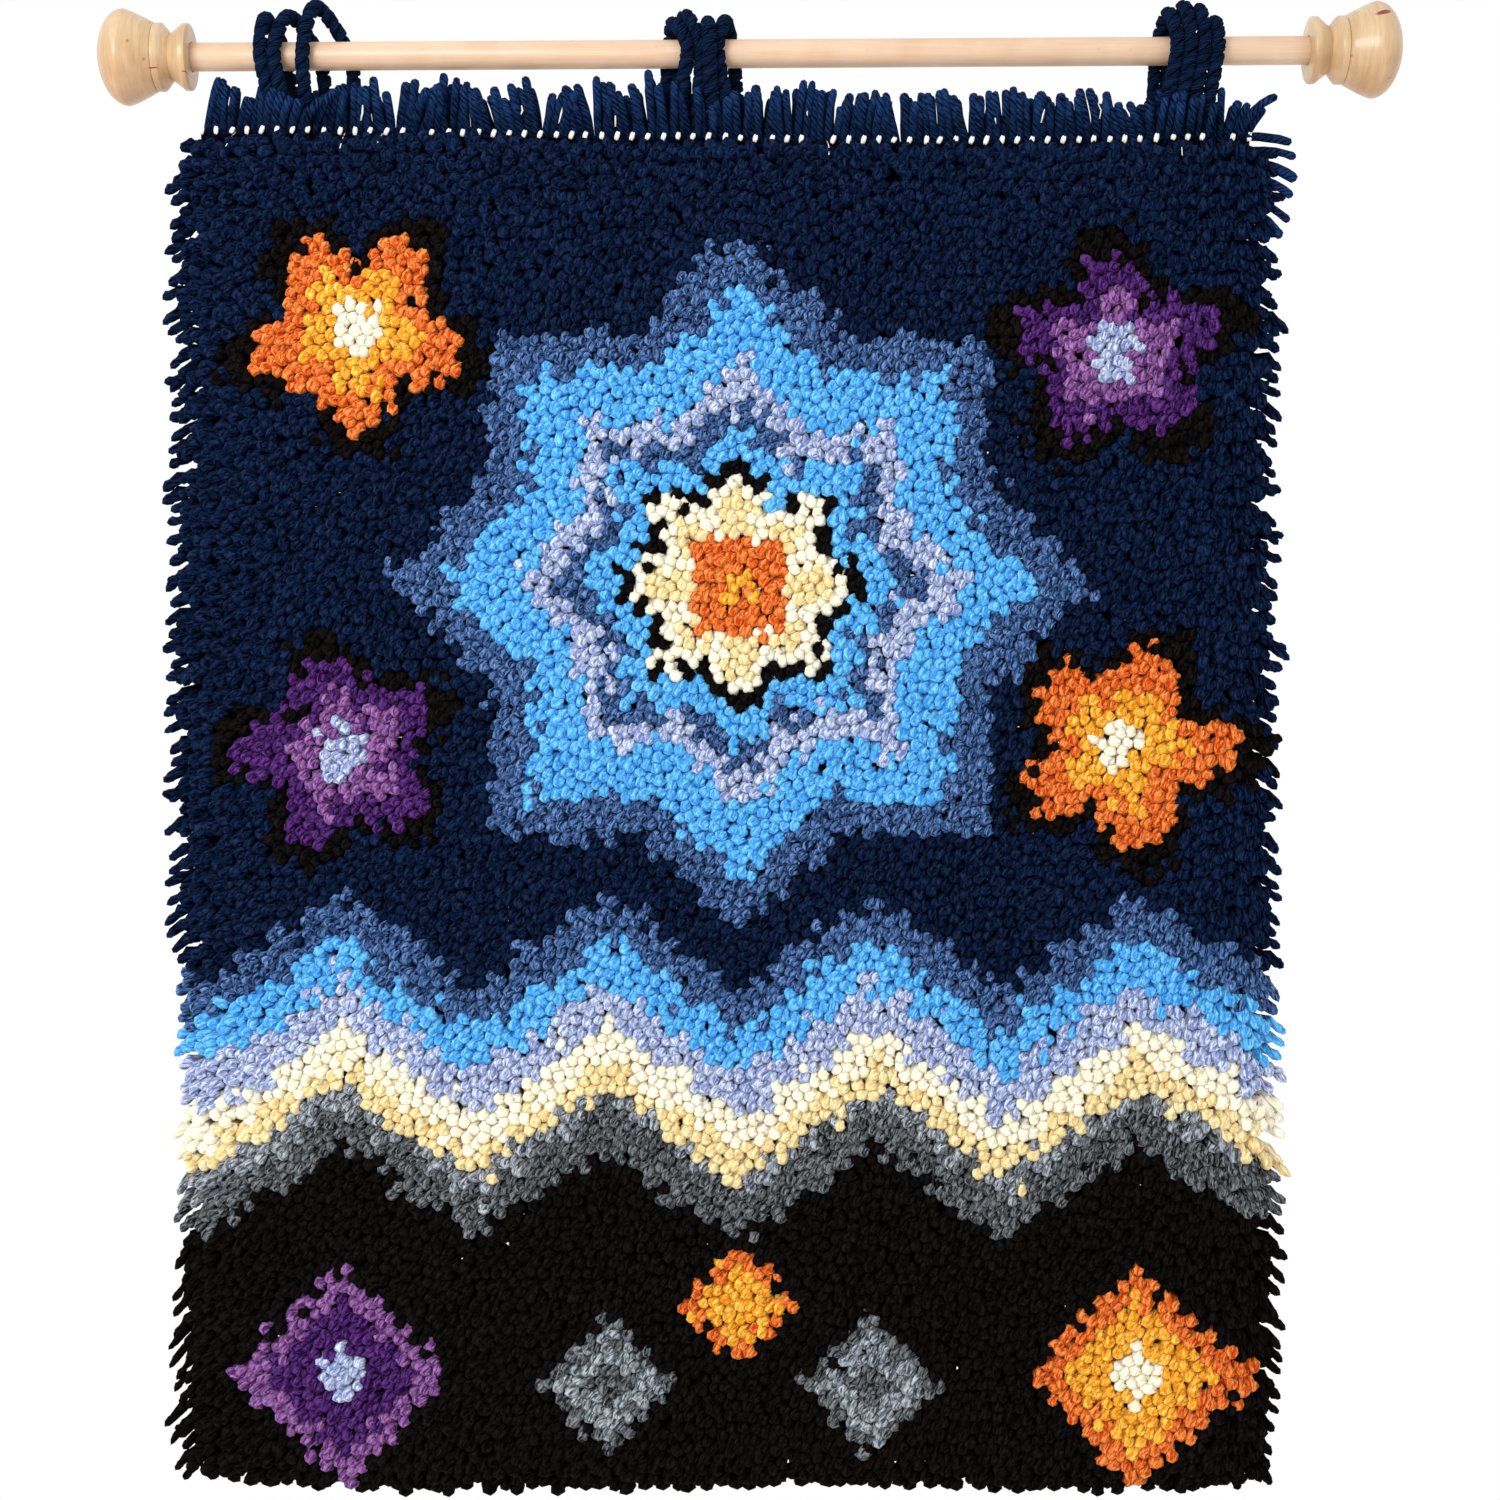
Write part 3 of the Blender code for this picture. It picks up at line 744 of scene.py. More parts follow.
# %% Make the knots
HEM_ROWS = 4
KNOT_RADIUS = 0.0018
KNOT_REACH = 0.0098
HEM_KNOT_REACH = 0.0135
ARCH_HALF, ARCH_FOOT_Y, ARCH_SLANT = 0.0026, 0.0002, 0.0004
BAR_UNEVEN, HEAD_UNEVEN, KNOT_UNEVEN = 0.0002, 0.0004, 0.05
HEAD_ROWS = 14
HEAD_HALF = 0.0042
HEAD_RISE = 0.0030
HEAD_FORWARD = 0.0046
HEAD_FOOT_Y = -0.0008
HEAD_RADIUS = 0.0022
SIDE_HEAD_RADIUS = 0.0029
KNOT_LENGTH = 0.011
# The heads in front get painted shade, as though they lay deep in the pile.
HEAD_LIT = 0.4
knot_columns, knot_rows = (grid.ravel() for grid in np.meshgrid(np.arange(COLUMNS), np.arange(ROWS)))
bar_x = CANVAS_LEFT + (knot_columns + 0.5) * PITCH + luck.normal(0, BAR_UNEVEN, knot_columns.size)
bar_z = canvas_z(bar_x, (knot_rows + 0.5) * PITCH)
reach = np.where(knot_rows < HEM_ROWS, HEM_KNOT_REACH, KNOT_REACH)
slant = luck.normal(ARCH_SLANT, ARCH_SLANT, bar_x.size)
arches = np.stack([points_at(bar_x + slant, ARCH_FOOT_Y, bar_z + ARCH_HALF),
                   points_at(bar_x, reach, bar_z),
                   points_at(bar_x - slant, ARCH_FOOT_Y, bar_z - ARCH_HALF)], axis=1)

side_knots = (knot_columns == 0) | (knot_columns == COLUMNS - 1)
with_head = (knot_rows < HEAD_ROWS) | side_knots
head_x, head_z = bar_x[with_head], bar_z[with_head] + HEAD_RISE
head_level = head_z + luck.normal(0, HEAD_UNEVEN, head_x.size)
heads = np.stack([points_at(head_x - HEAD_HALF, HEAD_FOOT_Y, head_z),
                  points_at(head_x, -HEAD_FORWARD, head_level),
                  points_at(head_x + HEAD_HALF, HEAD_FOOT_Y, head_z)], axis=1)
knot_ways = np.concatenate([arches, heads])
back_yarn = chart[knot_rows, knot_columns]
knot_yarn = np.concatenate([back_yarn, back_yarn[with_head]])
knot_radii = np.concatenate([np.full(len(arches), KNOT_RADIUS),
                             np.where(side_knots[with_head], SIDE_HEAD_RADIUS, HEAD_RADIUS)])
knot_lengths = np.full(len(knot_ways), KNOT_LENGTH)

knot_pieces = []
for yarn in DYES_AND_PAINTED_SHADE:
    part = np.flatnonzero(knot_yarn == yarn)
    placed = bent_copies(knot_back, knot_ways[part], knot_radii[part], np.full(len(part), math.pi / 4),
                         KNOT_UNEVEN, luck)
    knot_pieces.append(joined_copies(f"knots_{yarn}", knot_back, placed, knot_lengths[part],
                                     luck.uniform(0, 1, len(part)), luck.uniform(0, 1, len(part)),
                                     yarn_finishes[yarn],
                                     lit=np.where(part < len(arches), 1.0, HEAD_LIT)))
for piece in knot_pieces:
    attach(piece, "root")
print("knots:", len(arches), "arches behind and", len(heads), "heads in front")

# %% [markdown]
# ## The canvas
# The canvas is a net of stiff cotton. Its upright threads go up the back of the face, over the
# folded edge and a few rows down behind, and its level bars run from side to side. One upright
# thread is modelled by extruding a flat ring up, spinning it round the fold and extruding it down
# again, and one bar by extruding a ring across. Arrays repeat them at the pitch of the holes, and
# then every point is lowered by the sag of the edge at its place.

# %% Cotton finish
THREAD_HALF_WIDTH = 0.00130
THREAD_HALF_THICKNESS = 0.00045
RIDGES_ACROSS, RIDGES_ALONG = 420.0, 300.0


def cotton_finish(name, along_axis, across_axis):
    """Unbleached cotton of two strands, with slanting ridges along the given axis and painted
    shade in the grooves between them.
    """
    finish, tree, shader = new_finish(name, 0.85, 0.25, sheen=0.15)
    place = add_node(tree, "TexCoord").outputs["Object"]
    axes = add_node(tree, "SeparateXYZ", {0: place}).outputs
    slant = maths(tree, "MULTIPLY_ADD", axes[across_axis], RIDGES_ACROSS,
                  maths(tree, "MULTIPLY", axes[along_axis], RIDGES_ALONG))
    ridge = maths(tree, "SINE", maths(tree, "MULTIPLY", slant, 2 * math.pi))
    hair, soil = noise(tree, place, 900.0, 2.0), noise(tree, place, 35.0, 2.0)
    # Painted shade: the ridge term darkens the grooves between the strands; the soil patches are the
    # cotton's own.
    light = maths(tree, "MULTIPLY_ADD", ridge, 0.15, maths(tree, "MULTIPLY_ADD", soil, 0.6, 0.2))
    colour = mixed(tree, light, dye(226, 222, 208), dye(255, 254, 250))
    tree.links.new(colour, shader.inputs["Base Color"])
    height = maths(tree, "MULTIPLY_ADD", ridge, 0.5, maths(tree, "MULTIPLY", hair, 0.4))
    give_bump(tree, shader, height, 0.0003, 0.6)
    return finish


upright_cotton = cotton_finish("cotton_upright", 2, 0)
level_cotton = cotton_finish("cotton_level", 0, 2)
print("cotton finishes:", upright_cotton.name, level_cotton.name)

# %% Model the canvas threads
HEM_Y = 0.0054
BAR_OFFSET = 0.0004
UPRIGHT_STEPS = 8
LEVEL_STEPS = 24
FOLD_TURNS = 4


def thread_ring(name, turn):
    """A flat six-sided ring at the origin, turned to face the way its thread goes, in edit mode."""
    deselect_all()
    bpy.ops.mesh.primitive_circle_add(vertices=6, radius=1, fill_type="NGON")
    thread = bpy.context.object
    thread.name = name
    thread.scale = (THREAD_HALF_WIDTH, THREAD_HALF_THICKNESS, 1)
    bpy.ops.object.transform_apply(scale=True)
    thread.rotation_euler = turn
    bpy.ops.object.transform_apply(rotation=True)
    bpy.ops.object.mode_set(mode="EDIT")
    bpy.ops.mesh.select_all(action="SELECT")
    return thread


def extrude_steps(step, count):
    """Extrudes what is selected, so many equal steps."""
    for _ in range(count):
        bpy.ops.mesh.extrude_region_move(TRANSFORM_OT_translate={"value": step})


def arrayed(thread, step, count):
    """Repeats a thread with an Array modifier and applies it."""
    bpy.ops.mesh.select_all(action="SELECT")
    bpy.ops.mesh.normals_make_consistent(inside=False)
    bpy.ops.object.mode_set(mode="OBJECT")
    array = thread.modifiers.new("repeat", "ARRAY")
    array.use_relative_offset = False
    array.use_constant_offset = True
    array.constant_offset_displace = step
    array.count = count
    bpy.ops.object.modifier_apply(modifier=array.name)


uprights = thread_ring("canvas", (0, 0, 0))
bpy.ops.transform.translate(value=(CANVAS_LEFT, CANVAS_Y, FOLD_Z - CANVAS_HEIGHT))
extrude_steps((0, 0, CANVAS_HEIGHT / UPRIGHT_STEPS), UPRIGHT_STEPS)
bpy.ops.mesh.spin(steps=FOLD_TURNS, angle=-math.pi, axis=(1, 0, 0),
                  center=(CANVAS_LEFT, (CANVAS_Y + HEM_Y) / 2, FOLD_Z))
extrude_steps((0, 0, -PITCH), HEM_ROWS)
arrayed(uprights, (PITCH, 0, 0), COLUMNS + 1)
uprights.data.materials.append(upright_cotton)


def bars(name, y, rows):
    """Level threads at half a hole below each grid line, so many rows down from the fold."""
    bar = thread_ring(name, (math.pi / 2, 0, math.pi / 2))
    bpy.ops.transform.translate(value=(CANVAS_LEFT, y, FOLD_Z - PITCH / 2))
    extrude_steps((CANVAS_WIDTH / LEVEL_STEPS, 0, 0), LEVEL_STEPS)
    arrayed(bar, (0, 0, -PITCH), rows)
    bar.data.materials.append(level_cotton)
    return bar


threads = [uprights, bars("bars", CANVAS_Y - BAR_OFFSET, ROWS),
           bars("hem_bars", HEM_Y + BAR_OFFSET, HEM_ROWS)]
print("threads:", [len(thread.data.polygons) for thread in threads], "faces")

# %% Join the canvas and let its edge sag
deselect_all()
for thread in threads:
    thread.select_set(True)
bpy.context.view_layer.objects.active = uprights
bpy.ops.object.join()
canvas = uprights
points = np.array([vertex.co[:] for vertex in canvas.data.vertices])
points[:, 2] = canvas_z(points[:, 0], FOLD_Z - points[:, 2])
canvas.data.vertices.foreach_set("co", points.astype(np.float32).ravel())
canvas.data.shade_smooth()
canvas.data.update()
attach(canvas, "root")
print("canvas:", len(canvas.data.polygons), "faces")

# %% [markdown]
# ## Where the loops go
# Each loop is drawn through the fold, up in front of the dowel, slackly over it and down behind.
# Its line goes through a few listed points, and a smooth curve is drawn through them. The
# lines come first, because the stitches and the fringe make way for the loops.

# %% Draw the loops' lines
ROD_RADIUS = 0.0070
ROD_TILT = math.radians(0.346)
LEG_Y = 0.0105
FRONT_FOOT_Y = -0.0025
BACK_FOOT_Y = 0.0047
LEG_BEND_Z = -0.0170
FOOT_DEPTH = 0.0010
FOOT_STEPS = (0.0, 0.0065, 0.0130)
BESIDE_ROD = 0.0010
SHOULDER_RISE, SHOULDER_OUT = 0.62, 0.82
ROUTE_STEP = 0.0018
LOOP_FOOT_REACH = 0.0050
LOOPS = (
    # name, front foot x, front x at the rod, how far it stands forward there, crest x, crest z,
    # back x at the rod, back foot x
    ("loop_left_1", -0.2390, -0.2440, 0.0, -0.2430, 0.0176, -0.2350, -0.2280),
    ("loop_left_2", -0.2324, -0.2374, 0.0, -0.2310, 0.0187, -0.2175, -0.2120),
    ("loop_left_3", -0.2225, -0.2230, 0.0, -0.2177, 0.0237, -0.2020, -0.1990),
    ("loop_centre_1", -0.0370, -0.0310, 0.0, -0.0390, 0.0150, -0.0415, -0.0425),
    ("loop_centre_2", -0.0262, -0.0242, 0.0, -0.0330, 0.0187, -0.0368, -0.0370),
    ("loop_centre_3", -0.0105, -0.0162, 0.0, -0.0121, 0.0160, -0.0080, -0.0055),
    ("loop_centre_4", -0.0188, -0.0202, 0.0064, -0.0212, 0.0150, -0.0220, -0.0220),
    ("loop_right_1", 0.2063, 0.2130, 0.0, 0.2100, 0.0200, 0.2060, 0.2030),
    ("loop_right_2", 0.2134, 0.2197, 0.0, 0.2176, 0.0234, 0.2125, 0.2090),
    ("loop_right_3", 0.2206, 0.2265, 0.0, 0.2252, 0.0218, 0.2195, 0.2160),
    ("loop_right_4", 0.2278, 0.2333, 0.0, 0.2330, 0.0156, 0.2275, 0.2238),
)
FRONT_FEET = np.array([places[0] for _, *places in LOOPS])
BACK_FEET = np.array([places[-1] for _, *places in LOOPS])


def upright_foot(x, y):
    """Points that rise from the fold, the lowest first."""
    foot_z = float(canvas_z(x, 0.0)) - FOOT_DEPTH
    return [(x, y, foot_z + step) for step in FOOT_STEPS]


def loop_points(front_foot_x, front_x, forward, crest_x, crest_z, back_x, back_foot_x):
    """Front foot, up before the rod, slack over it, down behind it to the back foot."""
    rod_z = crest_x * math.tan(ROD_TILT)
    front_y = -LEG_Y - forward
    shoulder_z = between(rod_z, crest_z, SHOULDER_RISE)
    over_the_rod = [
        (between(front_foot_x, front_x, 0.55), between(FRONT_FOOT_Y, front_y, 0.72), LEG_BEND_Z),
        (front_x, front_y, rod_z - BESIDE_ROD),
        (between(front_x, crest_x, 0.45), SHOULDER_OUT * front_y, shoulder_z),
        (crest_x, 0.0, crest_z),
        (between(crest_x, back_x, 0.55), SHOULDER_OUT * LEG_Y, shoulder_z),
        (back_x, LEG_Y, rod_z - BESIDE_ROD),
        (between(back_x, back_foot_x, 0.45), between(LEG_Y, BACK_FOOT_Y, 0.28), LEG_BEND_Z),
    ]
    line = upright_foot(front_foot_x, FRONT_FOOT_Y) + over_the_rod
    line += reversed(upright_foot(back_foot_x, BACK_FOOT_Y))
    return [Vector(point) for point in line]


def smooth_route(points, step):
    """Points along one smooth curve through the route's own points, about a step apart."""
    ends = [points[0] * 2 - points[1]] + points + [points[-1] * 2 - points[-2]]
    route = []
    for before, start, end, after in zip(ends, ends[1:], ends[2:], ends[3:]):
        count = max(2, round((end - start).length / step))
        for index in range(count):
            t = index / count
            drift = (end - before) * t + (before * 2 - start * 5 + end * 4 - after) * t ** 2
            drift += (start * 3 - before - end * 3 + after) * t ** 3
            route.append(start + drift * 0.5)
    route.append(points[-1])
    return np.array(route)


def over_a_loop(x):
    """1 where a loop comes up through the fold, and 0 a few millimetres away."""
    gap = np.abs(np.subtract.outer(x, FRONT_FEET)).min(axis=-1)
    return np.exp(-(gap / LOOP_FOOT_REACH) ** 2)


loop_routes = {name: smooth_route(loop_points(*places), ROUTE_STEP) for name, *places in LOOPS}
print("loops:", {name: round(float(np.linalg.norm(np.diff(route, axis=0), axis=1).sum()), 3)
                 for name, route in loop_routes.items()})

# %% [markdown]
# ## White stitches on the fold
# Where the pile parts from the fringe, the bare canvas shows as a row of white specks, one for each
# upright thread. Each is two strands of cotton twisted over the fold, so one strand is modelled
# from a ball drawn out to a grain, and its copies lie in slanting pairs. A few are buried in yarn.

# %% Make the white stitches
STITCH_HALF = (0.00082, 0.00080, 0.00216)
STITCH_SLANT = math.radians(16)
STITCH_HIDDEN = 0.10
STITCH_FORWARD = 0.0064
STITCH_RISE = 0.0009
STITCH_OVER_LOOP = 0.0026
LENGTH_UNEVEN, SLANT_UNEVEN, PLACE_UNEVEN = 0.10, 0.10, 0.0003
STRAND_APART, STRAND_STEP = 0.00045, 0.0002
deselect_all()
bpy.ops.mesh.primitive_uv_sphere_add(segments=8, ring_count=6, radius=1)
bpy.context.object.name = "stitch_grain"
bpy.context.object.scale = STITCH_HALF
bpy.ops.object.transform_apply(scale=True)
grain = mesh_shape(bpy.context.object)

stitch_points, stitch_faces = [], []
for column_edge in range(COLUMNS + 1):
    hidden = luck.random() < STITCH_HIDDEN and column_edge > 0
    long, tilt = luck.normal(1, LENGTH_UNEVEN), STITCH_SLANT + luck.normal(0, SLANT_UNEVEN)
    x = CANVAS_LEFT + column_edge * PITCH + luck.normal(0, PLACE_UNEVEN)
    z = float(canvas_z(x, 0.0)) + STITCH_RISE
    forward = STITCH_FORWARD + STITCH_OVER_LOOP * float(over_a_loop(x))
    for side in () if hidden else (-1, 1):
        turn = Matrix.Rotation(tilt, 3, "Y")
        shift = Vector((x + side * STRAND_APART, -forward - side * STRAND_STEP, z - side * STRAND_STEP))
        start = len(stitch_points)
        stitch_points += [turn @ Vector((p[0], p[1], p[2] * long)) + shift for p in grain["points"]]
        stitch_faces += [[i + start for i in face] for face in grain["faces"]]
fold_stitches = smooth_piece("fold_stitches", stitch_points, stitch_faces, upright_cotton)
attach(fold_stitches, "root")
print("stitches:", len(stitch_faces) // len(grain["faces"]) // 2)

# %% [markdown]
# ## The hanging loops
# Each loop is two rug yarns twisted together into a cord. They wind round the loop's line, a turn
# for every 14 mm, which makes the rope-like slant that shows on the real loops.

# %% Wind two yarns round each line
WIND_RADIUS = 0.00160
WOUND_THICK = 0.00205
WOUND_WIDE = 0.00320
WIND_TURN = 0.0140
WOUND_SIDES = 8
WOUND_UNEVEN = 0.03
WOUND_LIT = 0.9
WOUND_MARGIN = 0.02


def carried_frames(route):
    """For each point of a line: two directions square to it that turn no more than the line does."""
    heading = unit(np.gradient(route, axis=0))
    side = Vector((1, 0, 0)).cross(Vector(heading[0])).normalized()
    sides = []
    for ahead in heading:
        ahead = Vector(ahead)
        side = (side - ahead * side.dot(ahead)).normalized()
        sides.append(side[:])
    sides = np.array(sides)
    return sides, np.cross(heading, sides)


def tube_corners(last, sides):
    """The corners of a closed tube's faces, each as its ring and its step round that ring."""
    walls = [[(ring, step), (ring, step + 1), (ring + 1, step + 1), (ring + 1, step)]
             for ring in range(last) for step in range(sides)]
    first_cap = [(0, step) for step in reversed(range(sides))]
    return walls + [first_cap, [(last, step) for step in range(sides)]]


def wound_yarns(name, route, phase, finish):
    """Two yarns wound round a line as one mesh, each a closed tube pressed flat against the other."""
    first, second = carried_frames(route)
    run = np.concatenate([[0], np.cumsum(np.linalg.norm(np.diff(route, axis=0), axis=1))])
    along = run * math.hypot(1, 2 * math.pi * WIND_RADIUS / WIND_TURN)
    turn = np.arange(WOUND_SIDES + 1) / WOUND_SIDES
    out, round_it = np.cos(turn[:-1] * 2 * math.pi), np.sin(turn[:-1] * 2 * math.pi)
    corners = tube_corners(len(route) - 1, WOUND_SIDES)
    ring_of, step_of = np.array([corner for face in corners for corner in face]).T
    yarn_places = np.stack([turn[step_of], along[ring_of] / PLY_TURN], axis=1)
    points, faces, bake_places, facts = [], [], [], []
    for strand in range(2):
        wind = (2 * math.pi * run / WIND_TURN + math.pi * strand + phase)[:, None]
        radial = first * np.cos(wind) + second * np.sin(wind)
        sideways = second * np.cos(wind) - first * np.sin(wind)
        size = (1 + luck.normal(0, WOUND_UNEVEN, len(route)))[:, None, None]
        rings = route[:, None] + radial[:, None] * (WIND_RADIUS + WOUND_THICK * size * out[:, None])
        rings = rings + sideways[:, None] * (WOUND_WIDE * size * round_it[:, None])
        start = len(points)
        points += rings.reshape(-1, 3).tolist()
        faces += [[start + ring * WOUND_SIDES + step % WOUND_SIDES for ring, step in face]
                  for face in corners]
        across = WOUND_MARGIN + (1 - 2 * WOUND_MARGIN) * turn[step_of]
        bake_places.append(np.stack([(strand + across) / 2, along[ring_of] / along[-1]], axis=1))
        facts += [(luck.uniform(0, 1), WOUND_LIT, strand / 2 + 0.1)] * (len(points) - start)
    maps = {"Yarn": np.concatenate([yarn_places] * 2), "OFBake": np.concatenate(bake_places)}
    return smooth_piece(name, points, faces, finish, maps, facts)


loop_finish = yarn_finish("yarn_loops", dye(2, 7, 18), dye(15, 36, 68), 0.35, foot_shade=1.0,
                          twist=-0.5)
loop_pieces = []
for name, route in loop_routes.items():
    piece = wound_yarns("yarn_" + name, route, luck.uniform(0, math.pi), loop_finish)
    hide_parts(name)
    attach(piece, "root")
    loop_pieces.append(piece)
loop_triangles = sum(len(face.vertices) - 2 for piece in loop_pieces for face in piece.data.polygons)
print("loops wound:", len(loop_pieces), "of", loop_triangles, "triangles")

# %% [markdown]
# ## The fringe
# The knots on the fold have nothing to hold their ends down, so they stand up, in front of the hem
# and behind it. They lean on one another in tufts, with gaps where two tufts part. At the right
# corner a few long ends of the side knots fan out, and these are bent one by one. Where a loop comes
# through the fold, the front ends lie over its foot, and it takes the place of the ends behind.

# %% Place the fringe's feet and gather its tufts
FRINGE_HEIGHT = 0.0258
FRONT_FRINGE_Y = -0.0010
BACK_FRINGE_Y = 0.0060
LOOP_CLEARANCE = 0.0012
TUFT_WIDTH, TUFT_SHIFT, SHIFT_WAVES = 0.0130, 0.8, 70
TUFT_LEAN, TUFT_RISE = 0.0042, 0.0026
END_LEAN, END_RISE = 0.0018, 0.0022
RIGHT_LEAN, RIGHT_REACH, RIGHT_SHORTER = 0.0150, 1.6, 0.0070
LEFT_LEAN, LEFT_REACH = 0.0130, 3.0
SHORTER_OVER_LOOP = 0.0085
fringe_luck = np.random.default_rng(5)
middle_x = CANVAS_LEFT + (np.arange(COLUMNS) + 0.5) * PITCH
foot_x = (middle_x[:, None] + np.tile((-KNOT_HALF, KNOT_HALF), 2)).ravel()
foot_y = np.tile(np.repeat((FRONT_FRINGE_Y, BACK_FRINGE_Y), 2), COLUMNS)
clear = np.abs(np.subtract.outer(foot_x, BACK_FEET)).min(axis=1) > LOOP_CLEARANCE
foot_x, foot_y = (places[(foot_y < 0) | clear] for places in (foot_x, foot_y))
is_front = foot_y < 0
count = len(foot_x)
tuft = np.round((foot_x - CANVAS_LEFT) / TUFT_WIDTH + TUFT_SHIFT * np.sin(foot_x * SHIFT_WAVES))
tuft_lean = {key: fringe_luck.normal(0, TUFT_LEAN) for key in np.unique(tuft)}
tuft_rise = {key: fringe_luck.normal(0, TUFT_RISE) for key in np.unique(tuft)}
near_right = fading((CANVAS_LEFT + CANVAS_WIDTH - foot_x) / PITCH, RIGHT_REACH)
near_left = fading((foot_x - CANVAS_LEFT) / PITCH, LEFT_REACH)
over_loop = np.where(is_front, over_a_loop(foot_x), 0)
lean_x = np.array([tuft_lean[key] for key in tuft]) + fringe_luck.normal(0, END_LEAN, count)
lean_x += RIGHT_LEAN * near_right + LEFT_LEAN * near_left
height = FRINGE_HEIGHT + np.array([tuft_rise[key] for key in tuft])
height += fringe_luck.normal(0, END_RISE, count) - RIGHT_SHORTER * near_right
height -= SHORTER_OVER_LOOP * over_loop
print("fringe:", count, "ends in", len(tuft_lean), "tufts")

# %% Make the fringe
FRINGE_RADIUS, FRINGE_UNEVEN = 0.00215, 0.05
FRONT_TIP_Y, BACK_TIP_Y = -0.0032, 0.0052
FOOT_OVER_LOOP, MIDDLE_OVER_LOOP, TIP_OVER_LOOP = 0.0035, 0.0030, 0.0092
MIDDLE_BACK = 0.22
FRONT_BOW, BACK_BOW = 0.0010, -0.0006
FRINGE_DEPTH, BACK_LOWER = 0.0002, 0.0010
END_UNEVEN = 0.0010
CORNER_Y = (-0.0040, -0.00785, -0.0095)
CORNER_ENDS = (
    # foot x and z, x and z of the point that bends it, tip x and z
    (0.2447, -0.0470, 0.2455, -0.0300, 0.2632, -0.0238),
    (0.2462, -0.0430, 0.2570, -0.0430, 0.2702, -0.0472),
    (0.2460, -0.0500, 0.2630, -0.0492, 0.2722, -0.0548),
    (0.2460, -0.0560, 0.2640, -0.0570, 0.2722, -0.0662),
    (0.2465, -0.0620, 0.2625, -0.0650, 0.2702, -0.0745),
    (0.2465, -0.0735, 0.2620, -0.0775, 0.2687, -0.0868),
    (0.2465, -0.0785, 0.2600, -0.0830, 0.2645, -0.0950),
)
fold_here = canvas_z(foot_x, 0.0)
fringe_foot = points_at(foot_x, foot_y - FOOT_OVER_LOOP * over_loop, fold_here - FRINGE_DEPTH)
tip_forward = np.where(is_front, FRONT_TIP_Y, BACK_TIP_Y) - TIP_OVER_LOOP * over_loop
fringe_tip = points_at(foot_x + lean_x, tip_forward + fringe_luck.normal(0, END_UNEVEN, count),
                       fold_here + height - np.where(is_front, 0, BACK_LOWER))
fringe_middle = between(fringe_foot, fringe_tip, 0.5)
fringe_middle[:, 0] -= lean_x * MIDDLE_BACK + fringe_luck.normal(0, END_UNEVEN, count)
fringe_middle[:, 1] -= np.where(is_front, FRONT_BOW, BACK_BOW) + MIDDLE_OVER_LOOP * over_loop
corner_x, corner_z = np.array(CORNER_ENDS)[:, 0::2], np.array(CORNER_ENDS)[:, 1::2]
fringe_ways = np.concatenate([np.stack([fringe_foot, fringe_middle, fringe_tip], axis=1),
                              points_at(corner_x, CORNER_Y, corner_z)])
count = len(fringe_ways)
fringe_lengths = np.linalg.norm(fringe_ways[:, 2] - fringe_ways[:, 0], axis=1)
# The fringe gets painted shade towards its feet at the fold, down to half its colour.
fringe_finish = yarn_finish("yarn_fringe", dye(2, 7, 22), dye(25, 57, 106), 0.40, foot_shade=0.50,
                            twist=0.6, ply_depth=0.32)
fringe_radii = FRINGE_RADIUS * fringe_luck.normal(1, FRINGE_UNEVEN, count)
placed = bent_copies(fringe_end, fringe_ways, fringe_radii, fringe_luck.uniform(0, 6.28, count),
                     FRINGE_UNEVEN, fringe_luck)
fringe = joined_copies("fringe_yarn_ends", fringe_end, placed, fringe_lengths,
                       fringe_luck.uniform(0, 1, count), fringe_luck.uniform(0, 1, count),
                       fringe_finish)
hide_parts("top_fringe")
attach(fringe, "root")

# %% [markdown]
# ## Loose cotton
# The cut edge of the canvas sheds a little. Short cotton threads show between the fringe strands,
# and a few thin wisps hang from the stitches over the pile. They are the knot's square shape again,
# drawn out thin.

# %% Make the loose cotton
SLIVERS, WISPS = 12, 5
SLIVER_RADIUS, WISP_RADIUS = 0.00040, 0.00024
SLIVER_Y = (-0.0040, -0.0048, -0.0040)
WISP_Y = (-STITCH_FORWARD, -0.0150, -0.0205)
COTTON_SWAY = 0.0012
COTTON_LENGTH = 0.010
cotton_x = CANVAS_LEFT + fringe_luck.uniform(0.02, 0.98, SLIVERS + WISPS) * CANVAS_WIDTH
cotton_z = canvas_z(cotton_x, 0.0)
cotton_ways = []
for number, (x, z) in enumerate(zip(cotton_x, cotton_z)):
    sway = np.array([0, *fringe_luck.normal(0, COTTON_SWAY, 2)])
    if number < SLIVERS:
        low = fringe_luck.uniform(0.005, 0.012)
        high = low + fringe_luck.uniform(0.005, 0.008)
        rises = np.array([low, between(low, high, 0.5), high])
        cotton_ways.append(points_at(x + sway, SLIVER_Y, z + rises))
    else:
        fall = fringe_luck.uniform(0.006, 0.012)
        cotton_ways.append(points_at(x + sway, WISP_Y, z - fall * np.array([0, 0.3, 1])))
cotton_radii = np.repeat((SLIVER_RADIUS, WISP_RADIUS), (SLIVERS, WISPS))
no_facts = np.zeros(SLIVERS + WISPS)
placed = bent_copies(knot_back, np.array(cotton_ways), cotton_radii, no_facts, KNOT_UNEVEN,
                     fringe_luck)
loose_cotton = joined_copies("loose_cotton", knot_back, placed, no_facts + COTTON_LENGTH, no_facts,
                             no_facts, upright_cotton)
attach(loose_cotton, "root")

# %% [markdown]
# ## The dowel and its knobs
# The rod is a plain beech dowel, and each knob is turned from one block: a ball, a fine groove, a
# collar, a waist and a flange with a socket for the rod. A turned shape is a line spun about its
# axis. The line is drawn by extruding one point from the ball's end to the socket.

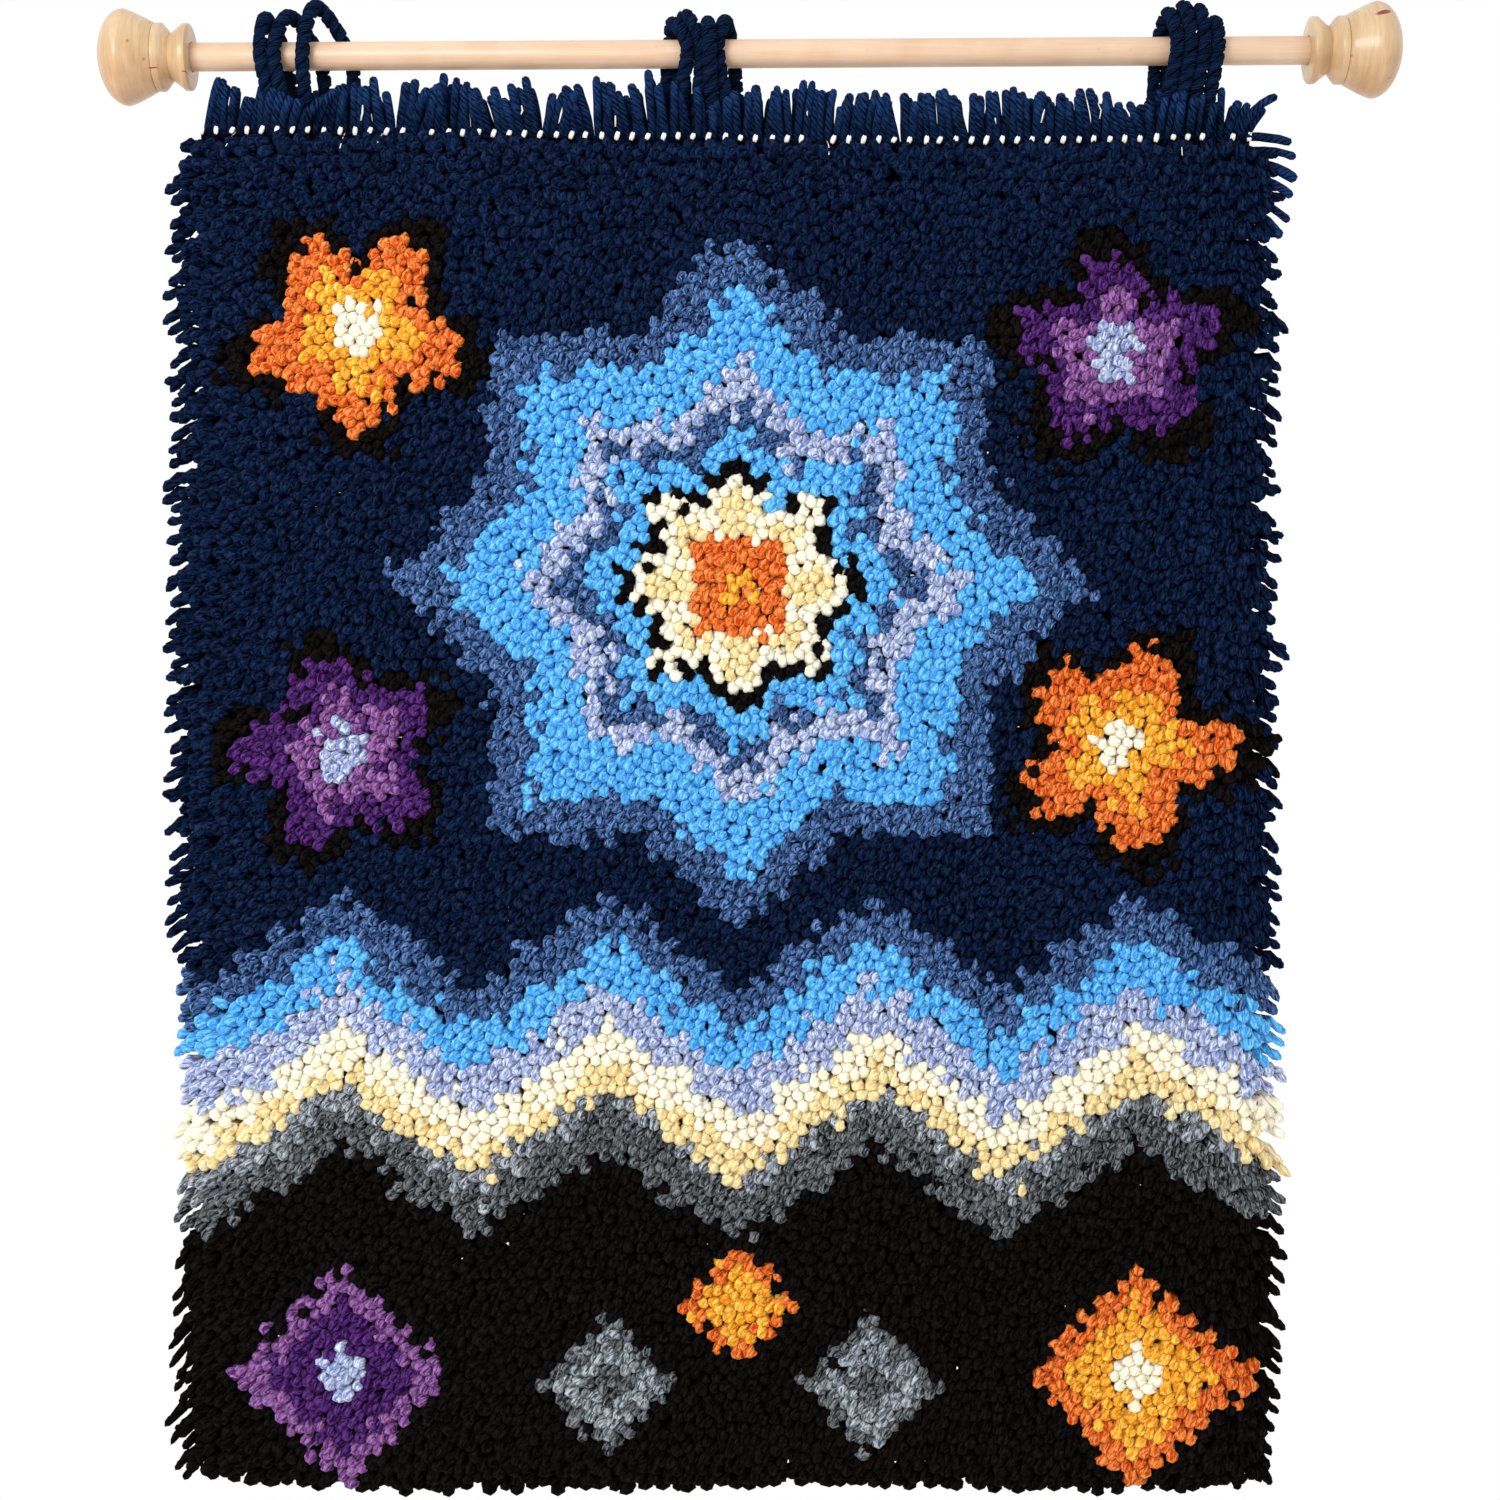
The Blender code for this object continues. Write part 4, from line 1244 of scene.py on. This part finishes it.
# %% Knob profile
ROD_SHOWN = 0.5608
SOCKET_DEPTH = 0.0120
KNOB_LENGTH, KNOB_RADIUS = 0.0464, 0.0236
BALL_LENGTH, BALL_STEPS, BALL_TAPER = 0.0135, 16, 1.2
COLLAR_AT, COLLAR_RADIUS, COLLAR_WIDTH = 0.0284, 0.0167, 0.0030
GROOVE = 0.0006
WAIST_AT, WAIST_RADIUS, WAIST_TAPER = 0.0364, 0.0114, 1.15
# distance from the round end, and radius
FLANGE = ((0.0421, 0.0157), (0.0424, 0.0161), (0.0427, 0.0163), (0.0431, 0.0164), (0.0452, 0.0164),
          (0.0455, 0.0163), (0.0458, 0.0160), (0.0460, 0.0156), (0.0462, 0.0150), (0.0464, 0.0140))
SOCKET_RADIUS = 0.0073
SPIN_STEPS = 72


def taper(start, end, wide, narrow, power, steps):
    """Points of a stretch that narrows from one radius to another, slowly at first."""
    shares = [index / steps for index in range(steps + 1)]
    return [(between(start, end, share), wide - (wide - narrow) * share ** power) for share in shares]


def knob_profile():
    """Distance from the round end, and radius, down to the bottom of the rod's socket."""
    profile = [(0.0, 0.0)]
    for index in range(1, BALL_STEPS + 1):
        angle = math.radians(90) * index / BALL_STEPS
        profile.append((BALL_LENGTH * (1 - math.cos(angle)), KNOB_RADIUS * math.sin(angle)))
    profile += taper(BALL_LENGTH, COLLAR_AT, KNOB_RADIUS, COLLAR_RADIUS, BALL_TAPER, 10)[1:]
    profile += [(COLLAR_AT + GROOVE / 2, COLLAR_RADIUS - GROOVE), (COLLAR_AT + GROOVE, COLLAR_RADIUS)]
    collar_end = COLLAR_AT + GROOVE + COLLAR_WIDTH
    profile += taper(collar_end, WAIST_AT, COLLAR_RADIUS, WAIST_RADIUS, WAIST_TAPER, 8)
    profile += FLANGE
    profile += [(KNOB_LENGTH, SOCKET_RADIUS), (KNOB_LENGTH - SOCKET_DEPTH, SOCKET_RADIUS),
                (KNOB_LENGTH - SOCKET_DEPTH, 0.0)]
    return profile


print("profile points:", len(knob_profile()))

# %% Turn the knobs
ROD_TURN = Matrix.Rotation(-ROD_TILT, 4, "Y")


def settle_on_rod(piece):
    """Lays a piece made along X onto the slightly tilted rod, with its place in its mesh."""
    piece.data.transform(ROD_TURN)
    piece.data.update()
    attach(piece, "root")


def turned_knob(name, side):
    """One knob: a point extruded along its profile, then spun about the rod's axis."""
    deselect_all()
    bpy.ops.mesh.primitive_plane_add(size=0.001)
    knob = bpy.context.object
    knob.name = name
    bpy.ops.object.mode_set(mode="EDIT")
    bpy.ops.mesh.merge(type="CENTER")
    end_x = ROD_SHOWN / 2 + KNOB_LENGTH
    profile = [(side * (end_x - distance), radius) for distance, radius in knob_profile()]
    bpy.ops.transform.translate(value=(profile[0][0], 0, profile[0][1]))
    for (x, radius), (next_x, next_radius) in zip(profile, profile[1:]):
        bpy.ops.mesh.extrude_region_move(
            TRANSFORM_OT_translate={"value": (next_x - x, 0, next_radius - radius)})
    bpy.ops.mesh.select_all(action="SELECT")
    bpy.ops.mesh.spin(steps=SPIN_STEPS, angle=2 * math.pi, center=(0, 0, 0), axis=(1, 0, 0))
    bpy.ops.mesh.select_all(action="SELECT")
    bpy.ops.mesh.remove_doubles(threshold=0.00001)
    bpy.ops.mesh.normals_make_consistent(inside=False)
    bpy.ops.object.mode_set(mode="OBJECT")
    bpy.ops.object.shade_smooth_by_angle(angle=math.radians(42))
    return knob


knobs = {"knob_left": turned_knob("turned_knob_left", -1),
         "knob_right": turned_knob("turned_knob_right", 1)}
print("knobs:", [len(knob.data.polygons) for knob in knobs.values()], "faces each")

# %% Wood finishes
MARKS = (
    # middle x, middle z, half length, half width, slope
    (-0.2966, -0.0111, 0.0027, 0.00035, 0.05),
    (-0.2812, -0.0124, 0.0018, 0.00030, -0.05),
    (0.3135, 0.0148, 0.0042, 0.00140, 0.22),
)


def mark_mask(tree, place, middle_x, middle_z, half_length, half_width, slope):
    """1 in the middle of a small slanting mark on the front of a piece, and 0 outside it."""
    x, y, z = add_node(tree, "SeparateXYZ", {0: place}).outputs
    across = maths(tree, "SUBTRACT", x, middle_x)
    up = maths(tree, "SUBTRACT", maths(tree, "SUBTRACT", z, middle_z),
               maths(tree, "MULTIPLY", across, slope))
    reach = add_node(tree, "CombineXYZ", {0: maths(tree, "DIVIDE", across, half_length),
                                          1: maths(tree, "DIVIDE", up, half_width)}).outputs[0]
    far = add_node(tree, "VectorMath", {0: reach}, operation="LENGTH").outputs["Value"]
    inside = ramp(tree, far, 0.7, 1.1, 1.0, 0.0)
    return maths(tree, "MULTIPLY", inside, maths(tree, "LESS_THAN", y, 0.0))


def wood_finish(name, dark, pale, grain_scale, coat, roughness, fleck, painted_under_shade, marks=()):
    """Clear-varnished wood with fine grain drawn out along the given scale, and painted shade that
    makes it browner underneath.
    """
    finish, tree, shader = new_finish(name, roughness, 0.4)
    shader.inputs["Coat Weight"].default_value = coat
    shader.inputs["Coat Roughness"].default_value = 0.20
    place = add_node(tree, "TexCoord").outputs["Object"]
    stretched = add_node(tree, "Mapping", {"Vector": place, "Scale": grain_scale}).outputs[0]
    band = noise(tree, stretched, 1.0, 4.0, distortion=0.4)
    fine = noise(tree, stretched, 4.5, 3.0)
    patch = noise(tree, place, 60.0, 2.0)
    light = maths(tree, "MULTIPLY_ADD", band, 0.9, maths(tree, "MULTIPLY_ADD", fine, 0.7, -0.45))
    light = maths(tree, "ADD", light, maths(tree, "MULTIPLY_ADD", patch, 0.9, -0.35))
    colour = mixed(tree, add_node(tree, "Clamp", {0: light}).outputs[0], dark, pale)
    # Painted shade: below the axis the colour is multiplied towards a brown, more the lower it lies.
    height = add_node(tree, "SeparateXYZ", {0: place}).outputs[2]
    under = ramp(tree, height, 0.002, -0.016, 0.0, painted_under_shade)
    colour = mixed(tree, under, colour, dye(236, 150, 76), blend="MULTIPLY")
    spots = add_node(tree, "TexVoronoi", {"Vector": place, "Scale": 110.0, "Randomness": 1.0},
                     feature="F1").outputs[0]
    speck = ramp(tree, spots, 0.05, 0.11, fleck, 0.0)
    colour = mixed(tree, speck, colour, dye(110, 66, 32))
    for mark in marks:
        colour = mixed(tree, mark_mask(tree, place, *mark), colour, dye(132, 44, 30))
    tree.links.new(colour, shader.inputs["Base Color"])
    give_bump(tree, shader, fine, 0.00012, 0.35)
    return finish


knob_wood = wood_finish("varnished_knob_wood", dye(176, 138, 96), dye(218, 192, 154), (330, 22, 22),
                        coat=0.35, roughness=0.38, fleck=0.55, painted_under_shade=0.22, marks=MARKS)
rod_wood = wood_finish("beech_dowel", dye(204, 168, 136), dye(224, 195, 168), (9, 260, 260),
                       coat=0.15, roughness=0.42, fleck=0.10, painted_under_shade=0.08)
for node, knob in knobs.items():
    knob.data.materials.append(knob_wood)
    settle_on_rod(knob)
    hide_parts(node)
print("wood finishes:", knob_wood.name, rod_wood.name)

# %% Make the dowel
ROD_CHAMFER = 0.0006
SOCKET_GAP = 0.0003
deselect_all()
rod_length = ROD_SHOWN + 2 * (SOCKET_DEPTH - SOCKET_GAP)
bpy.ops.mesh.primitive_cylinder_add(vertices=48, radius=ROD_RADIUS, depth=rod_length,
                                    rotation=(0, math.radians(90), 0))
dowel = bpy.context.object
dowel.name = "beech_rod"
bpy.ops.object.transform_apply(rotation=True)
chamfer = dowel.modifiers.new("chamfer", "BEVEL")
chamfer.width = ROD_CHAMFER
chamfer.segments = 2
chamfer.limit_method = "ANGLE"
chamfer.angle_limit = math.radians(60)
bpy.ops.object.modifier_apply(modifier=chamfer.name)
bpy.ops.object.shade_smooth_by_angle(angle=math.radians(30))
dowel.data.materials.append(rod_wood)
settle_on_rod(dowel)
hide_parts("rod")
print("dowel:", round(rod_length, 4), "m long with", len(dowel.data.polygons), "faces")

# %% [markdown]
# ## Floor and light
# The rug hangs free in a bright, even room, as in a white studio. White surroundings light it from
# every side, so only the gaps between the yarn ends go dark, and one large soft lamp in front, high
# on the left, gives each tip a lit side. The pale floor lies well below.

# %% Set up floor and light
FLOOR_Z = -1.10
FLOOR_SIZE = 2.0
deselect_all()
bpy.ops.mesh.primitive_plane_add(size=FLOOR_SIZE, location=(0, 0, FLOOR_Z))
floor = bpy.context.object
floor.name = "studio_floor"
floor_finish, _, floor_shader = new_finish("pale_floor", 0.8, 0.2)
floor_shader.inputs["Base Color"].default_value = dye(240, 240, 238)
floor.data.materials.append(floor_finish)
floor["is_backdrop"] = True

room = bpy.data.worlds.new("white_room")
room.use_nodes = True
room.node_tree.nodes["Background"].inputs["Color"].default_value = (1, 1, 1, 1)
room.node_tree.nodes["Background"].inputs["Strength"].default_value = 1.0
scene.world = room


def soft_lamp(name, place, aim, size, power):
    """A square lamp that points at a place on the rug."""
    bpy.ops.object.light_add(type="AREA", location=place)
    lamp = bpy.context.object
    lamp.name = name
    lamp.data.size = size
    lamp.data.energy = power
    lamp.rotation_euler = (Vector(aim) - Vector(place)).to_track_quat("-Z", "Y").to_euler()
    return lamp


rug_middle = (CANVAS_MIDDLE, 0, FOLD_Z - CANVAS_HEIGHT / 2)
soft_lamp("front_lamp", (-0.75, -1.50, 0.15), rug_middle, 0.7, 17.0)
print("room strength 1, one lamp of 17 W")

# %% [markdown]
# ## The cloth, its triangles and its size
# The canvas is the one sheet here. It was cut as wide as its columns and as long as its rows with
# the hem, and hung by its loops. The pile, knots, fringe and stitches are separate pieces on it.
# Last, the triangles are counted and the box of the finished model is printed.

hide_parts("rug")
added = [thing for thing in scene.objects
         if thing.type == "MESH" and not thing.hide_render and thing != floor]
triangles = {thing.name: sum(len(face.vertices) - 2 for face in thing.data.polygons) for thing in added}
print("triangles in all:", sum(triangles.values()), "largest piece:", max(triangles.values()))

low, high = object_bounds()
print("finished:", [round(side, 3) for side in high - low], "metres")
